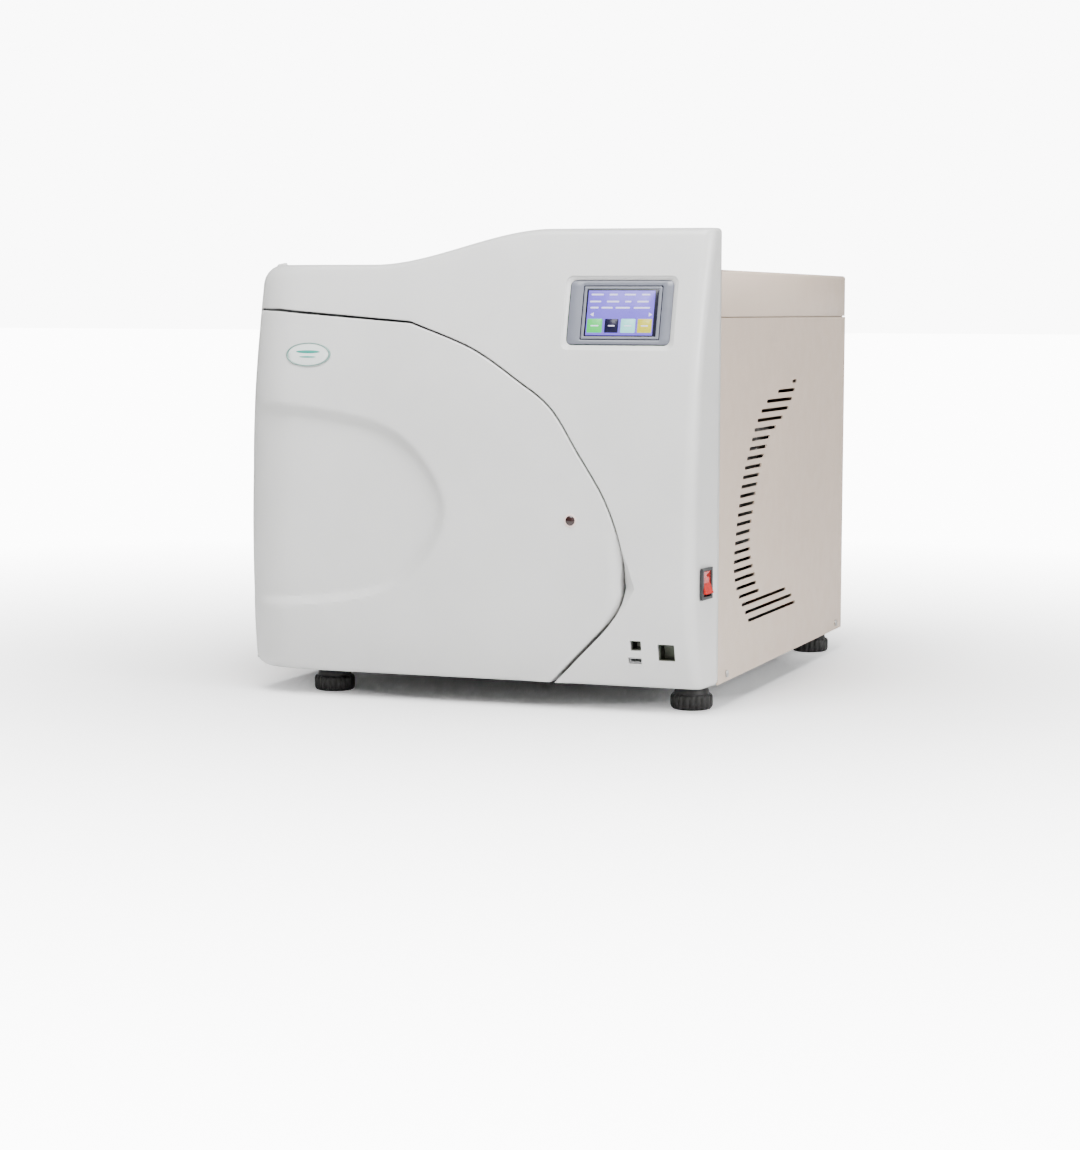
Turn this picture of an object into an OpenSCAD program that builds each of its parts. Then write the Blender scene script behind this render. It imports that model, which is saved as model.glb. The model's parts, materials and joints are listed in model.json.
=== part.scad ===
/* [Case] */
// Width of the cabinet
case_w = 480; // [478:1:490]
// Depth of the sheet-metal cabinet behind the fascia
case_d = 515; // [512:1:530]
// Height of the cabinet without its feet
case_h = 397; // [396:1:402]
// Height of the joint between the side panels and the top cover
seam_h = 352; // [350:1:353]
// Thickness of the painted sheet steel
sheet = 1.5; // [1.2:0.1:1.6]

/* [Fascia] */
// Height of the fascia at its tall right-hand side
fascia_h = 436; // [430:1:440]
// Height of the fascia over the door's hinge side
shoulder_h = 402; // [400:1:406]
// How far the fascia stands ahead of the cabinet
fascia_depth = 68; // [66:1:70]
// Wall thickness of the plastic mouldings
wall = 2.5; // [2:0.1:2.8]
// Gap between the door and the fascia
door_gap = 1.8; // [1.5:0.1:2.5]

/* [Chamber] */
// Inside diameter of the sterilising chamber
chamber_d = 247; // [245:1:248]
// Wall thickness of the chamber
chamber_wall = 2.5; // [2:0.1:2.5]
// Offset of the chamber's axis from the middle of the case
chamber_x = -60; // [-61:1:-59]
// Height of the chamber's axis above the underside of the case
chamber_z = 190; // [189:1:191]

/* [Trays] */
// Outside width of a tray
tray_w = 184; // [176:1:184]
// Length of a tray
tray_l = 262; // [240:1:262]
// Height of a tray's rim
tray_h = 18; // [12:1:20]

/* [Feet] */
// Height of a levelling foot when it is screwed right in
foot_h = 24.5; // [20:0.5:28]
// Diameter of a levelling foot
foot_d = 41; // [34:1:44]
// Diameter of a foot's threaded stud
stud_d = 8; // [6:1:8]

/* [Hidden] */
$fn = 64;
eps = 0.1;
half_w = case_w / 2;
case_front = -232;
case_back = case_front + case_d;
fascia_front = case_front - fascia_depth;
panel_in = half_w - sheet;
pan_half = panel_in - 0.5;
clean = [0.86, 0.87, 0.88];
beige = [0.78, 0.75, 0.71];
steel = [0.72, 0.73, 0.74];
dark = [0.08, 0.08, 0.09];
copper = [0.72, 0.45, 0.3];

// Fascia and door: how far the front stands ahead of the cabinet at each height, as a share of the depth
profile = [[0.56, 0], [0.74, 15], [0.88, 40], [0.97, 80], [1, 140], [0.97, 200], [0.9, 260], [0.82, 300],
           [0.65, 350], [0.44, 400], [0.26, fascia_h]];
left_corner_r = 60;
right_corner_r = 12;
side_draft = 5;
// The left side leans inward towards the top, by this much at the shoulder
left_lean = 10;
lean_from = 220;
rise_from = -105;
rise_to = 75;

// Door: its edge as seen from the front, from the hinge side over the arc and down to the bottom
door_edge = [[-60, 345], [5, 321], [54, 291], [89, 265], [117, 224], [145, 180], [161, 137], [162, 105],
             [155, 72], [110, 25], [82, 0]];
door_top = 356;
door_back = -254;
bay_front = -243;
bay_back = bay_front + wall;
strip_front = -250;
recess_edge = [[-150, 262], [-60, 236], [-15, 165], [-60, 95], [-150, 70]];
recess_depth = 3;
scoop_x = 160;
scoop_r = 16;
scoop_z = [82, 142];

// Hinge, lock and chamber mouth
hinge_x = -222;
hinge_y = -262;
hinge_levels = [110, 240];
ear_h = 8;
knuckle_h = 34;
knuckle_r = 7;
pin_r = 3;
// Clearance around the hinge axis for the rear edge of the swinging door
swing_r = 18.9;
lock_z = 155;
lock_y = -228;
flange_y = -247;
flange_r = 137;
frame_back = -235.5;
frame_t = 3;
plate_front = -258;
plate_back = -252;
plate_r = 134;
tray_levels = [-52, -2, 48];
tray_front = -165;
rack_half = 96;
vessel_r = chamber_d / 2;

// Display: centre of the sloping panel, its tilt and its sizes
display_at = [152, -273.2, 357];
display_tilt = 14.9;
display_size = [102, 62];
screen_size = [80, 54];

// Rocker switch on the fascia's right-hand wall
switch_at = [half_w - side_draft * 0.534, case_front - 0.534 * fascia_depth, 102];
switch_turn = -atan(side_draft / fascia_depth);

// Places of the feet, the fan, the tanks and the filler
foot_x = [-164, 212];
foot_y = [-224, 250];
nut_r = 7.4;
fan_at = [145, 150];
fan_size = 92;
tank_z = 344;
tank_top = 390;
filler_at = [-120, -140];

// How much a square elbow fitting stands out from its pipe
elbow_extra = 1.2;

function smooth(t) = t * t * (3 - 2 * t);
function spline_at(a, b, c, d, t) =
    0.5 * (2 * b + (c - a) * t + (2 * a - 5 * b + 4 * c - d) * t * t + (3 * b - a - 3 * c + d) * t * t * t);
function curve(p, n) = concat(
    [for (i = [0:len(p) - 2]) for (k = [0:n - 1])
        spline_at(p[max(i - 1, 0)], p[i], p[i + 1], p[min(i + 2, len(p) - 1)], k / n)],
    [p[len(p) - 1]]);

function lean(z) = left_lean * pow(max(0, (z - lean_from) / (shoulder_h - lean_from)), 1.6);

module lift() { translate([0, 0, foot_h]) children(); }
module along_x(x0, x1) { translate([x0, 0, 0]) rotate([90, 0, 90]) linear_extrude(x1 - x0) children(); }
module along_y(y0, y1) { translate([0, y1, 0]) rotate([90, 0, 0]) linear_extrude(y1 - y0) children(); }
module box(lo, hi) { translate(lo) cube(hi - lo); }
module rod_y(x, z, r, y0, y1) { translate([x, y0, z]) rotate([-90, 0, 0]) cylinder(r = r, h = y1 - y0); }
module rod_x(y, z, r, x0, x1) { translate([x0, y, z]) rotate([0, 90, 0]) cylinder(r = r, h = x1 - x0); }
module rod_z(x, y, r, z0, z1) { translate([x, y, z0]) cylinder(r = r, h = z1 - z0); }
module tube_y(x, z, r_in, r_out, y0, y1) {
    translate([x, y0, z]) rotate([-90, 0, 0]) difference() {
        cylinder(r = r_out, h = y1 - y0);
        translate([0, 0, -1]) cylinder(r = r_in, h = y1 - y0 + 2);
    }
}
module rounded(w, h, r) { offset(r) square([w - 2 * r, h - 2 * r], center = true); }
module pipe(route, r) {
    for (i = [0:len(route) - 2]) {
        step = route[i + 1] - route[i];
        long = norm(step);
        translate(route[i]) rotate([0, acos(step[2] / long), atan2(step[1], step[0])])
            cylinder(r = r, h = long);
    }
    for (i = [1:len(route) - 2]) translate(route[i]) cube(2 * r + 2 * elbow_extra, center = true);
}

// Outline of the fascia from the front, with its low shoulder on the left and its S-shaped rise
module fascia_outline() {
    steps = 16;
    left = [for (i = [0:8], z = lean_from + (shoulder_h - lean_from) * i / 8) [lean(z) - half_w, z]];
    top = [for (i = [0:steps])
        [rise_from + (rise_to - rise_from) * i / steps,
         shoulder_h + (fascia_h - shoulder_h) * smooth(i / steps)]];
    offset(12) offset(-12)
        polygon(concat([[half_w - 40, 0], [-half_w, 0]], left, top, [[half_w - 40, fascia_h]]));
    offset(5) offset(-5) translate([half_w - 60, 0]) square([60, fascia_h]);
}

// Section of the fascia from the side, open or closed at the back
module fascia_section(back) {
    points = [for (p = profile) [case_front - fascia_depth * p[0], p[1]]];
    polygon(concat([[case_front + back, -20]], [[points[0][0], -20]], points,
                   [[points[len(points) - 1][0], fascia_h + 20], [case_front + back, fascia_h + 20]]));
}

// Plan of the fascia, with its wide round left corner and its tight right one
module fascia_plan(back) {
    steps = 12;
    left = [for (i = [0:steps]) [
        -half_w + left_corner_r * (1 - cos(90 * i / steps)),
        fascia_front + left_corner_r * (1 - sin(90 * i / steps))]];
    front_x = half_w - side_draft;
    right = [for (i = [0:steps / 2]) [
        front_x - right_corner_r * (1 - sin(180 * i / steps)),
        fascia_front + right_corner_r * (1 - cos(180 * i / steps))]];
    polygon(concat([[-half_w, case_front + back]], left, right, [[half_w, case_front + back]]));
}

module fascia_solid(inset, back) {
    intersection() {
        along_x(-half_w - 5, half_w + 5) offset(delta = -inset) fascia_section(back);
        along_y(fascia_front - 5, case_front + back + 5) offset(delta = -inset) fascia_outline();
        translate([0, 0, -10]) linear_extrude(fascia_h + 20) offset(delta = -inset) fascia_plan(back);
    }
}

module door_outline() {
    far = half_w + 30;
    polygon(concat([[-far, door_top + 2], [-204, door_top]], curve(door_edge, 4), [[78, -30], [-far, -30]]));
}

module scoop(r, grow) { rod_z(scoop_x, fascia_front, r, scoop_z[0] - grow, scoop_z[1] + grow); }

module on_display() { translate(display_at) rotate([-display_tilt, 0, 0]) children(); }
module on_switch() { translate(switch_at) rotate([0, 0, switch_turn]) children(); }

// Openings that the front of the case has behind the door
module bay_openings() {
    translate([chamber_x, chamber_z]) circle(r = flange_r + 2);
    for (z = hinge_levels) translate([-206.5, z - 1]) square([12.5, 2 * ear_h + knuckle_h + 2]);
    translate([107, lock_z - 18]) square([15, 36]);
}

module port_openings() {
    translate([171, 38]) square([10.5, 9.5]);
    translate([168, 25]) square([13, 6]);
    translate([198, 29]) square([16, 16]);
}

module front_fascia() {
    opening_front = fascia_front - 5;
    color(clean) lift() difference() {
        union() {
            difference() {
                fascia_solid(0, 0);
                difference() {
                    fascia_solid(wall, 10);
                    scoop(scoop_r + wall, wall);
                }
                along_y(opening_front, strip_front) offset(delta = door_gap) door_outline();
            }
            intersection() {
                fascia_solid(0, 0);
                along_y(opening_front, bay_back) difference() {
                    offset(delta = door_gap + wall) door_outline();
                    offset(delta = door_gap) door_outline();
                }
            }
            intersection() {
                fascia_solid(0, 0);
                along_y(bay_front, bay_back) offset(delta = door_gap + wall) door_outline();
            }
            intersection() {
                fascia_solid(0, 0);
                along_y(case_front - wall, case_front) translate([-half_w, case_h + 1]) square([case_w, 60]);
            }
        }
        along_y(opening_front, strip_front) offset(delta = door_gap) door_outline();
        scoop(scoop_r, 0);
        along_y(bay_front - 1, bay_back + 1) bay_openings();
        rod_z(hinge_x, hinge_y, swing_r, -1, door_top);
        on_display() along_y(-10, 30) rounded(display_size[0] + 1, display_size[1] + 1, 4);
        along_y(opening_front, -265) port_openings();
        on_switch() box([-10, -12, -13.5], [10, 12, 13.5]);
    }
}

module base_pan() {
    color(steel) lift() difference() {
        union() {
            box([-pan_half, case_front + 0.5, 0], [pan_half, case_back - 2, sheet]);
            for (s = [-1, 1]) translate([s * (pan_half - sheet / 2), 0, 0])
                box([-sheet / 2, case_front + 0.5, 0], [sheet / 2, case_back - 2, 18]);
            box([-pan_half, case_back - 2 - sheet, 0], [pan_half, case_back - 2, 18]);
            for (x = foot_x, y = foot_y) rod_z(x, y, nut_r, 0, 9);
        }
        for (x = foot_x, y = foot_y) rod_z(x, y, stud_d / 2 + 0.08, -1, 12);
        for (x = [-120, 40], y = [-60, 60, 160]) rod_z(x, y, 12, -1, 3);
    }
}

module front_frame() {
    wing = pan_half - left_lean;
    color(steel) lift() difference() {
        union() {
            box([-wing, frame_back - frame_t, 16], [wing, frame_back, 340]);
            for (s = [-1, 1]) translate([s * (wing - 1), 0, 0]) {
                box([-1, frame_back - eps, 16], [1, -205, 340]);
                box([-1, case_front + 1, 4], [1, -205, 17]);
            }
        }
        rod_y(chamber_x, chamber_z, vessel_r + chamber_wall + 2, frame_back - 5, frame_back + 1);
        box([107, frame_back - 5, lock_z - 18], [122, frame_back + 1, lock_z + 18]);
        box([105, frame_back - 5, 20], [225, frame_back + 1, 90]);
        box([105, frame_back - 5, 240], [225, frame_back + 1, 332]);
    }
}

module saddle(y) {
    difference() {
        union() {
            box([chamber_x - 125, y, sheet + eps], [chamber_x + 125, y + 3, 130]);
            box([chamber_x - 125, y, sheet + eps], [chamber_x + 125, y + 25, 4]);
        }
        rod_y(chamber_x, chamber_z, flange_r + 0.3, y - 1, y + 30);
        for (s = [-1, 1]) box([chamber_x + s * 60 - 20, y - 1, 15], [chamber_x + s * 60 + 20, y + 10, 45]);
    }
}

module chamber_cradle() {
    color(steel) lift() {
        saddle(-180);
        saddle(90);
    }
}

module tank_shelf() {
    color(steel) lift() difference() {
        union() {
            box([-pan_half + 2, -215, 341.6], [pan_half - 2, 215, 343]);
            for (s = [-1, 1]) translate([s * (pan_half - 3), 0, 0])
                box([-1, -200, 325], [1, 215, 343]);
        }
        for (x = [-150, 150], y = [-100, 0, 100]) rod_z(x, y, 20, 330, 350);
    }
}

// The crescent of ventilation slots, seen from the side
vent_pitch = 9;
vent_rows = 27;
vent_low = 51;
vent_slot_h = 3.6;
vent_front = [
    [122, 42], [86, 68], [60, 92], [54, 115], [64, 151], [85, 196], [117, 231], [137, 249], [168, 266],
    [213, 276], [285, 287]];
vent_rear = [
    [304, 295], [288, 276], [263, 258], [214, 240], [187, 231], [148, 196], [125, 160], [113, 128], [133, 97],
    [158, 76], [252, 71], [284, 61], [308, 45]];
module vent_slots() {
    translate([case_front, 0]) offset(1.4) offset(-1.4) intersection() {
        polygon(concat(curve(vent_front, 3), curve(vent_rear, 3)));
        for (i = [0:vent_rows - 1]) translate([40, vent_low + i * vent_pitch - vent_slot_h / 2])
            square([290, vent_slot_h]);
    }
}

module side_panel() {
    difference() {
        translate([case_front + 0.5, 0.5]) square([case_d - 1.6, seam_h - 1]);
        vent_slots();
        for (y = [case_front + 30, case_back - 30], z = [8]) translate([y, z]) circle(r = 2.1);
    }
}

module right_side_panel() { color(beige) lift() along_x(panel_in, half_w) side_panel(); }
module left_side_panel() { color(beige) lift() along_x(-half_w, -panel_in) side_panel(); }

// Cut-outs of the rear panel
inlet_at = [-150, 60];
drain_at = [[-20, 45], [25, 45]];
relief_at = [chamber_x, 268];
module fan_slots() {
    translate(fan_at) intersection() {
        circle(r = 42);
        for (i = [-5:5]) translate([-45, i * 8 - 2]) square([90, 4]);
    }
}

module rear_panel() {
    color(beige) lift() along_y(case_back - sheet, case_back) difference() {
        translate([-pan_half, 2]) square([2 * pan_half, seam_h - 2.5]);
        fan_slots();
        translate(inlet_at) square([28, 48], center = true);
        for (p = drain_at) translate(p) circle(r = 7.1);
        translate(relief_at) circle(r = 13);
        for (s = [-1, 1]) translate([s * 225, 330]) circle(r = 2.1);
    }
}

module cover_profile(inset) {
    polygon([[inset - half_w, seam_h + 0.5 - inset], [half_w - inset, seam_h + 0.5 - inset],
             [half_w - inset, case_h - inset], [left_lean + inset - half_w, case_h - inset]]);
}

module top_cover() {
    color(beige) lift() difference() {
        along_y(case_front + 0.5, case_back - 0.5) cover_profile(0);
        along_y(case_front - 1, case_back - 0.5 - sheet) cover_profile(sheet);
        rod_z(filler_at[0], filler_at[1], 26, case_h - 5, case_h + 1);
    }
}

module display_panel() {
    color([0.66, 0.67, 0.68]) lift() on_display() difference() {
        union() {
            along_y(2.5, 5) rounded(display_size[0], display_size[1], 3.5);
            for (x = [-47, 47], z = [-26, 26]) rod_y(x, z, 2, 4.9, 14);
        }
        along_y(0, 6) translate([0.8, 0]) square(screen_size, center = true);
    }
}

module display_screen() {
    color([0.3, 0.28, 0.6]) lift() on_display() translate([0.8, 0, 0]) {
        along_y(3.2, 5) square([screen_size[0] - 0.4, screen_size[1] - 0.4], center = true);
        along_y(5.1, 12) square([screen_size[0] + 6 - 2, screen_size[1] - 1], center = true);
    }
}

module control_board() {
    color([0.1, 0.4, 0.2]) lift() on_display() {
        along_y(14.1, 15.7) square([112, 68], center = true);
        for (x = [-40, -15, 25]) box([x, 15.8, -20], [x + 14, 20, -2]);
        box([-48, 15.8, 12], [-10, 26, 24]);
        rod_y(34, 16, 6, 15.8, 28);
    }
}

module switch_housing() {
    color(dark) lift() on_switch() difference() {
        union() {
            box([0.05, -14, -15], [2.4, 14, 15]);
            box([-26, -11.5, -13], [0.1, 11.5, 13]);
            for (z = [-8, 8]) box([-34, -3, z - 0.4], [-25.9, 3, z + 0.4]);
        }
        box([-14, -10, -12.2], [5, 10, 12.2]);
        translate([-3, -11, 0]) rotate([-90, 0, 0]) cylinder(r = 1.55, h = 22);
    }
}

module power_rocker() {
    color([0.75, 0.1, 0.1]) lift() on_switch() translate([-3, 0, 0]) rotate([0, -10, 0]) {
        rotate([90, 0, 0]) translate([0, 0, -9.6]) linear_extrude(19.2)
            polygon([[-6, -10], [6.5, -10.6], [5.2, -5], [4.4, 0], [5.2, 5], [6.5, 10.6], [-6, 10]]);
        translate([0, -10.8, 0]) rotate([-90, 0, 0]) cylinder(r = 1.5, h = 21.6);
    }
}

module socket_shell(x, z, w, h, y0, y1) {
    difference() {
        box([x, y0, z], [x + w, y1, z + h]);
        box([x + 0.8, y0 - 1, z + 0.8], [x + w - 0.8, y1 - 1, z + h - 0.8]);
    }
}

module usb_port() {
    color(steel) lift() {
        socket_shell(171.2, 38.2, 10.1, 9.1, -288, -272);
        box([174, -280, 41.2], [178.6, -273.1, 44.2]);
    }
}
module card_slot() {
    color(dark) lift() difference() {
        box([168.2, -284, 25.2], [180.8, -268, 30.8]);
        box([169.4, -285, 26.6], [179.6, -270, 29.4]);
    }
}
module network_port() {
    color(steel) lift() {
        socket_shell(198.2, 29.2, 15.6, 15.6, -287, -270);
        box([200, -278, 40], [212, -271.1, 42]);
    }
}

// The pressure vessel is a cylinder with a dished rear end; its profile runs outward from the axis
vessel_len = 352;
dome_h = 35;
module vessel_profile(r, tall) {
    steps = 10;
    polygon(concat([[0, 0], [r, 0]],
        [for (i = [0:steps]) [r * cos(90 * i / steps), tall - dome_h + dome_h * sin(90 * i / steps)]]));
}

module chamber_vessel() {
    total = vessel_len + dome_h;
    color(steel) lift() translate([chamber_x, flange_y, chamber_z]) rotate([-90, 0, 0]) difference() {
        rotate_extrude() vessel_profile(vessel_r + chamber_wall, total);
        translate([0, 0, -eps]) rotate_extrude() vessel_profile(vessel_r, total - chamber_wall + eps);
    }
}

module chamber_flange() {
    color(steel) lift() difference() {
        tube_y(chamber_x, chamber_z, vessel_r + chamber_wall + eps, flange_r,
            flange_y, frame_back - frame_t - eps);
        for (i = [0:7]) translate([chamber_x, 0, chamber_z]) rotate([0, 22.5 + 45 * i, 0])
            rod_y(131.5, 0, 2.6, -243, -238);
    }
}

module heater_bands() {
    r = vessel_r + chamber_wall;
    color(copper) lift() for (y = [-170, 20]) difference() {
        union() {
            tube_y(chamber_x, chamber_z, r + 0.3, r + 3.5, y, y + 60);
            box([chamber_x + r + 1, y + 20, chamber_z - 6], [chamber_x + r + 4.4, y + 40, chamber_z + 6]);
        }
        box([chamber_x - 3, y - 1, chamber_z - r - 6], [chamber_x + 3, y + 61, chamber_z - r + 2]);
    }
}

module insulation_jacket() {
    r = vessel_r + chamber_wall + 5;
    back = flange_y + vessel_len + dome_h + 6;
    color([0.85, 0.82, 0.7]) lift() {
        tube_y(chamber_x, chamber_z, r, flange_r, frame_back + eps, back);
        tube_y(chamber_x, chamber_z, 20, r - eps, back - 4, back);
    }
}

module steam_generator() {
    color(steel) lift() {
        rod_z(135, -170, 38, 10, 120);
        rod_z(135, -170, 44, sheet + 0.2, 10);
        rod_z(135, -170, 41, 120, 128);
        rod_z(135, -170, 8, 128, 138);
        for (a = [45:90:315]) translate([135, -170, 0]) rotate([0, 0, a]) rod_z(33, 0, 3.5, 128, 132);
    }
}

module vacuum_pump() {
    color([0.35, 0.36, 0.38]) lift() {
        rod_y(150, 62, 36, -105, 20);
        for (i = [0:6]) rod_y(150, 62, 38, -98 + i * 16, -92 + i * 16);
        box([112, 20, 20], [188, 62, 108]);
        rod_z(132, 41, 9, 108, 116);
        rod_z(168, 41, 9, 108, 116);
        for (y = [-80, 40]) box([118, y - 8, sheet + 0.2], [182, y + 8, 27]);
    }
}

module water_pump() {
    color(dark) lift() {
        box([190, -196, sheet + 0.2], [222, -140, 6]);
        box([192, -190, 6], [220, -150, 40]);
        rod_y(206, 24, 6, -150, -138);
    }
}

module tank(x0, x1, open) {
    difference() {
        box([x0, -205, tank_z], [x1, 205, tank_top]);
        box([x0 + 3, -202, tank_z + 3], [x1 - 3, 202, tank_top - 3]);
        if (open) box([x0 - 1, -206, tank_top - 3.1], [x1 + 1, 206, tank_top + 1]);
    }
}
module clean_water_tank() { color([0.9, 0.92, 0.93]) lift() tank(-226, -6, true); }
module waste_water_tank() { color([0.85, 0.87, 0.88]) lift() tank(6, 228, false); }

// Lid of the clean tank in one piece with the filler neck
module filler_neck() {
    color(dark) lift() translate([filler_at[0], filler_at[1], 0]) difference() {
        union() {
            translate([-filler_at[0], -filler_at[1], 0]) box([-226, -205, tank_top - 3], [-6, 205, tank_top]);
            translate([0, 0, tank_top - 1]) cylinder(r = 20.3, h = case_h - tank_top + 1);
            translate([0, 0, case_h + 0.1]) cylinder(r = 30, h = 2);
            translate([0, 0, tank_top + 0.2]) cylinder(r = 25.5, h = case_h - tank_top);
            box([-8, 27, case_h + 0.1], [8, 36, case_h + 2.1]);
            for (s = [-1, 1]) translate([s * 6.2, 0, 0]) box([-1.8, 31, case_h + 2], [1.8, 37, case_h + 8]);
        }
        translate([0, 0, tank_top - 5]) cylinder(r = 17, h = 30);
        translate([-9, 34, case_h + 5]) rotate([0, 90, 0]) cylinder(r = 1.55, h = 18);
    }
}

module filler_lid() {
    color(clean) lift() translate([filler_at[0], filler_at[1], 0]) {
        translate([0, 0, case_h + 2.3]) cylinder(r = 29, h = 4);
        translate([0, 0, case_h - 2]) cylinder(r = 15.5, h = 5);
        translate([-12, -34, case_h + 3]) cube([24, 10, 3]);
        translate([-4.2, 26, case_h + 3.3]) cube([8.4, 8, 3]);
        translate([-8, 34, case_h + 5]) rotate([0, 90, 0]) cylinder(r = 1.5, h = 16);
        translate([-4.2, 34, case_h + 5]) rotate([0, 90, 0]) cylinder(r = 2.6, h = 8.4);
    }
}

module condenser() {
    color(copper) lift() {
        for (i = [0:14]) box([97, 216, 102 + i * 7], [193, 248, 102.8 + i * 7]);
        for (x = [110, 130, 150, 170], y = [224, 240]) rod_z(x, y, 3, 98, 204);
        box([95, 216, 102], [97, 248, 200.8]);
        box([193, 216, 102], [195, 248, 200.8]);
    }
}

module fan_housing() {
    half = fan_size / 2;
    y = case_back - sheet - 27;
    color(dark) lift() translate([fan_at[0], 0, fan_at[1]]) {
        difference() {
            box([-half, y, -half], [half, y + 26, half]);
            rod_y(0, 0, 43, y - 1, y + 30);
            for (x = [-41, 41], z = [-41, 41]) rod_y(x, z, 2.2, y - 1, y + 30);
        }
        rod_y(0, 0, 16, y, y + 3);
        for (a = [0:90:270]) rotate([0, a + 30, 0]) box([14, y, -1.5], [43.5, y + 3, 1.5]);
        rod_y(0, 0, 2, y + 3, y + 8);
    }
}

module fan_rotor() {
    y = case_back - sheet - 27;
    color([0.12, 0.12, 0.13]) lift() translate([fan_at[0], 0, fan_at[1]]) {
        difference() {
            rod_y(0, 0, 17, y + 4, y + 23);
            rod_y(0, 0, 2.06, y + 3, y + 10);
        }
        for (a = [0:360 / 7:359]) rotate([0, a, 0]) translate([16, y + 13.5, 0]) rotate([35, 0, 0])
            box([0, -1, -10], [25, 1, 10]);
    }
}

module valve_manifold() {
    color([0.76, 0.62, 0.3]) lift() {
        box([100, -60, 132], [128, 60, 156]);
        for (y = [-42, -2, 38]) {
            rod_z(114, y, 7, 156, 190);
            box([101, y - 13, 160], [127, y + 13, 184]);
        }
    }
}

module pipework() {
    color(copper) lift() {
        pipe([[135, -170, 138.2], [135, -170, 232], [135, 182, 232], [chamber_x, 182, 232],
              [chamber_x, 182, chamber_z], [chamber_x, 140.6, chamber_z]], 4);
        pipe([[90, 182, 110], [chamber_x, 182, 110], [chamber_x, 146.4, 110]], 4);
        pipe([[-30, 205.2, 352], [-30, 232, 352], [-30, 232, 30], [206, 232, 30], [206, -137.5, 24]], 3.5);
    }
}

module power_supply() {
    color([0.6, 0.62, 0.63]) lift() difference() {
        box([196, -60, 120], [230, 110, 240]);
        for (i = [0:9]) box([190, -45 + i * 15, 135], [199, -40 + i * 15, 225]);
    }
}

module safety_valve() {
    color([0.78, 0.64, 0.32]) lift() {
        rod_y(relief_at[0], relief_at[1], 9, 150, 240);
        rod_y(relief_at[0], relief_at[1], 12, 205, 290);
        translate([relief_at[0], 250, relief_at[1]]) rotate([-90, 0, 0]) cylinder(r = 15, h = 18, $fn = 6);
        for (i = [0:4]) rod_y(relief_at[0], relief_at[1], 10, 289 + i * 2.2, 290.2 + i * 2.2);
        rod_y(relief_at[0], relief_at[1], 8.5, 289.9, 300);
    }
}

module power_inlet() {
    color(dark) lift() translate([inlet_at[0], case_back, inlet_at[1]]) difference() {
        union() {
            along_y(0.05, 3) rounded(34, 58, 3);
            box([-13.7, -22, -23.7], [13.7, 0.1, 23.7]);
            for (x = [-7, 0, 7]) box([x - 2.4, -30, -9], [x + 2.4, -21.9, -8.2]);
        }
        along_y(-15, 4) translate([0, -9])
            polygon([[-12, -8.5], [12, -8.5], [12, 4], [7.5, 8.5], [-7.5, 8.5], [-12, 4]]);
        along_y(1.5, 4) translate([0, 14]) rounded(22, 11, 1);
    }
    color(steel) lift() for (x = [-7, 0, 7])
        translate([inlet_at[0] + x, case_back, inlet_at[1] - 9]) box([-1, -14.95, -2], [1, 0, 2]);
}

module drain_couplings() {
    color([0.78, 0.64, 0.32]) lift() for (p = drain_at) difference() {
        union() {
            rod_y(p[0], p[1], 7, 262, 284);
            translate([p[0], 283.1, p[1]]) rotate([-90, 0, 0]) cylinder(r = 10, h = 6, $fn = 6);
            rod_y(p[0], p[1], 5, 289, 300);
        }
        rod_y(p[0], p[1], 3, 255, 301);
    }
}

module air_filter() {
    color([0.88, 0.9, 0.92]) lift() {
        rod_z(120, 130, 30, 20, 78);
        rod_z(120, 130, 33, 44, 52);
        rod_z(120, 130, 6, 6, 20);
        rod_z(120, 130, 6, 78, 92);
        box([95, 105, sheet + 0.2], [145, 155, 6]);
    }
}

// One hinge leaf in plan: an arm from the right reaches the pin, so that the door's wall can swing past
module hinge_leaf() {
    translate([hinge_x, hinge_y]) circle(r = knuckle_r);
    translate([hinge_x, hinge_y - 5]) square([26, 10]);
    translate([-205, hinge_y - 5]) square([9, -240.4 - hinge_y + 5]);
}

module hinge_bracket() {
    color([0.5, 0.51, 0.53]) lift() difference() {
        for (z = hinge_levels) {
            for (ear = [z, z + ear_h + knuckle_h]) translate([0, 0, ear]) linear_extrude(ear_h) hinge_leaf();
            box([-205, -241, z], [-196, -238.7, z + 2 * ear_h + knuckle_h]);
        }
        rod_z(hinge_x, hinge_y, pin_r + 0.02, 90, 320);
    }
}

module hinge_pin() {
    color(steel) lift() for (z = hinge_levels) {
        rod_z(hinge_x, hinge_y, pin_r, z - 3, z + 2 * ear_h + knuckle_h + 2);
        rod_z(hinge_x, hinge_y, 5, z + 2 * ear_h + knuckle_h + 0.2, z + 2 * ear_h + knuckle_h + 3);
    }
}

module lock_housing() {
    color([0.5, 0.51, 0.53]) lift() difference() {
        box([118, frame_back + eps, lock_z - 16], [165, -212, lock_z + 16]);
        rod_x(lock_y, lock_z, 5.05, 117, 156);
    }
}
module lock_bolt() { color(steel) lift() rod_x(lock_y, lock_z, 5, 119, 151); }

module panel_screws() {
    color(steel) lift() {
        for (s = [-1, 1], y = [case_front + 30, case_back - 30]) translate([s * (half_w + 0.1), y, 8])
            rotate([0, s * 90, 0]) difference() {
                cylinder(r = 3.6, h = 1.6);
                for (a = [0, 90]) rotate([0, 0, a]) translate([-2.2, -0.4, 0.7]) cube([4.4, 0.8, 2]);
            }
        for (s = [-1, 1]) translate([s * 225, case_back + 0.1, 330]) rotate([-90, 0, 0]) difference() {
            cylinder(r = 3.6, h = 1.6);
            for (a = [0, 90]) rotate([0, 0, a]) translate([-2.2, -0.4, 0.7]) cube([4.4, 0.8, 2]);
        }
    }
}

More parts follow.
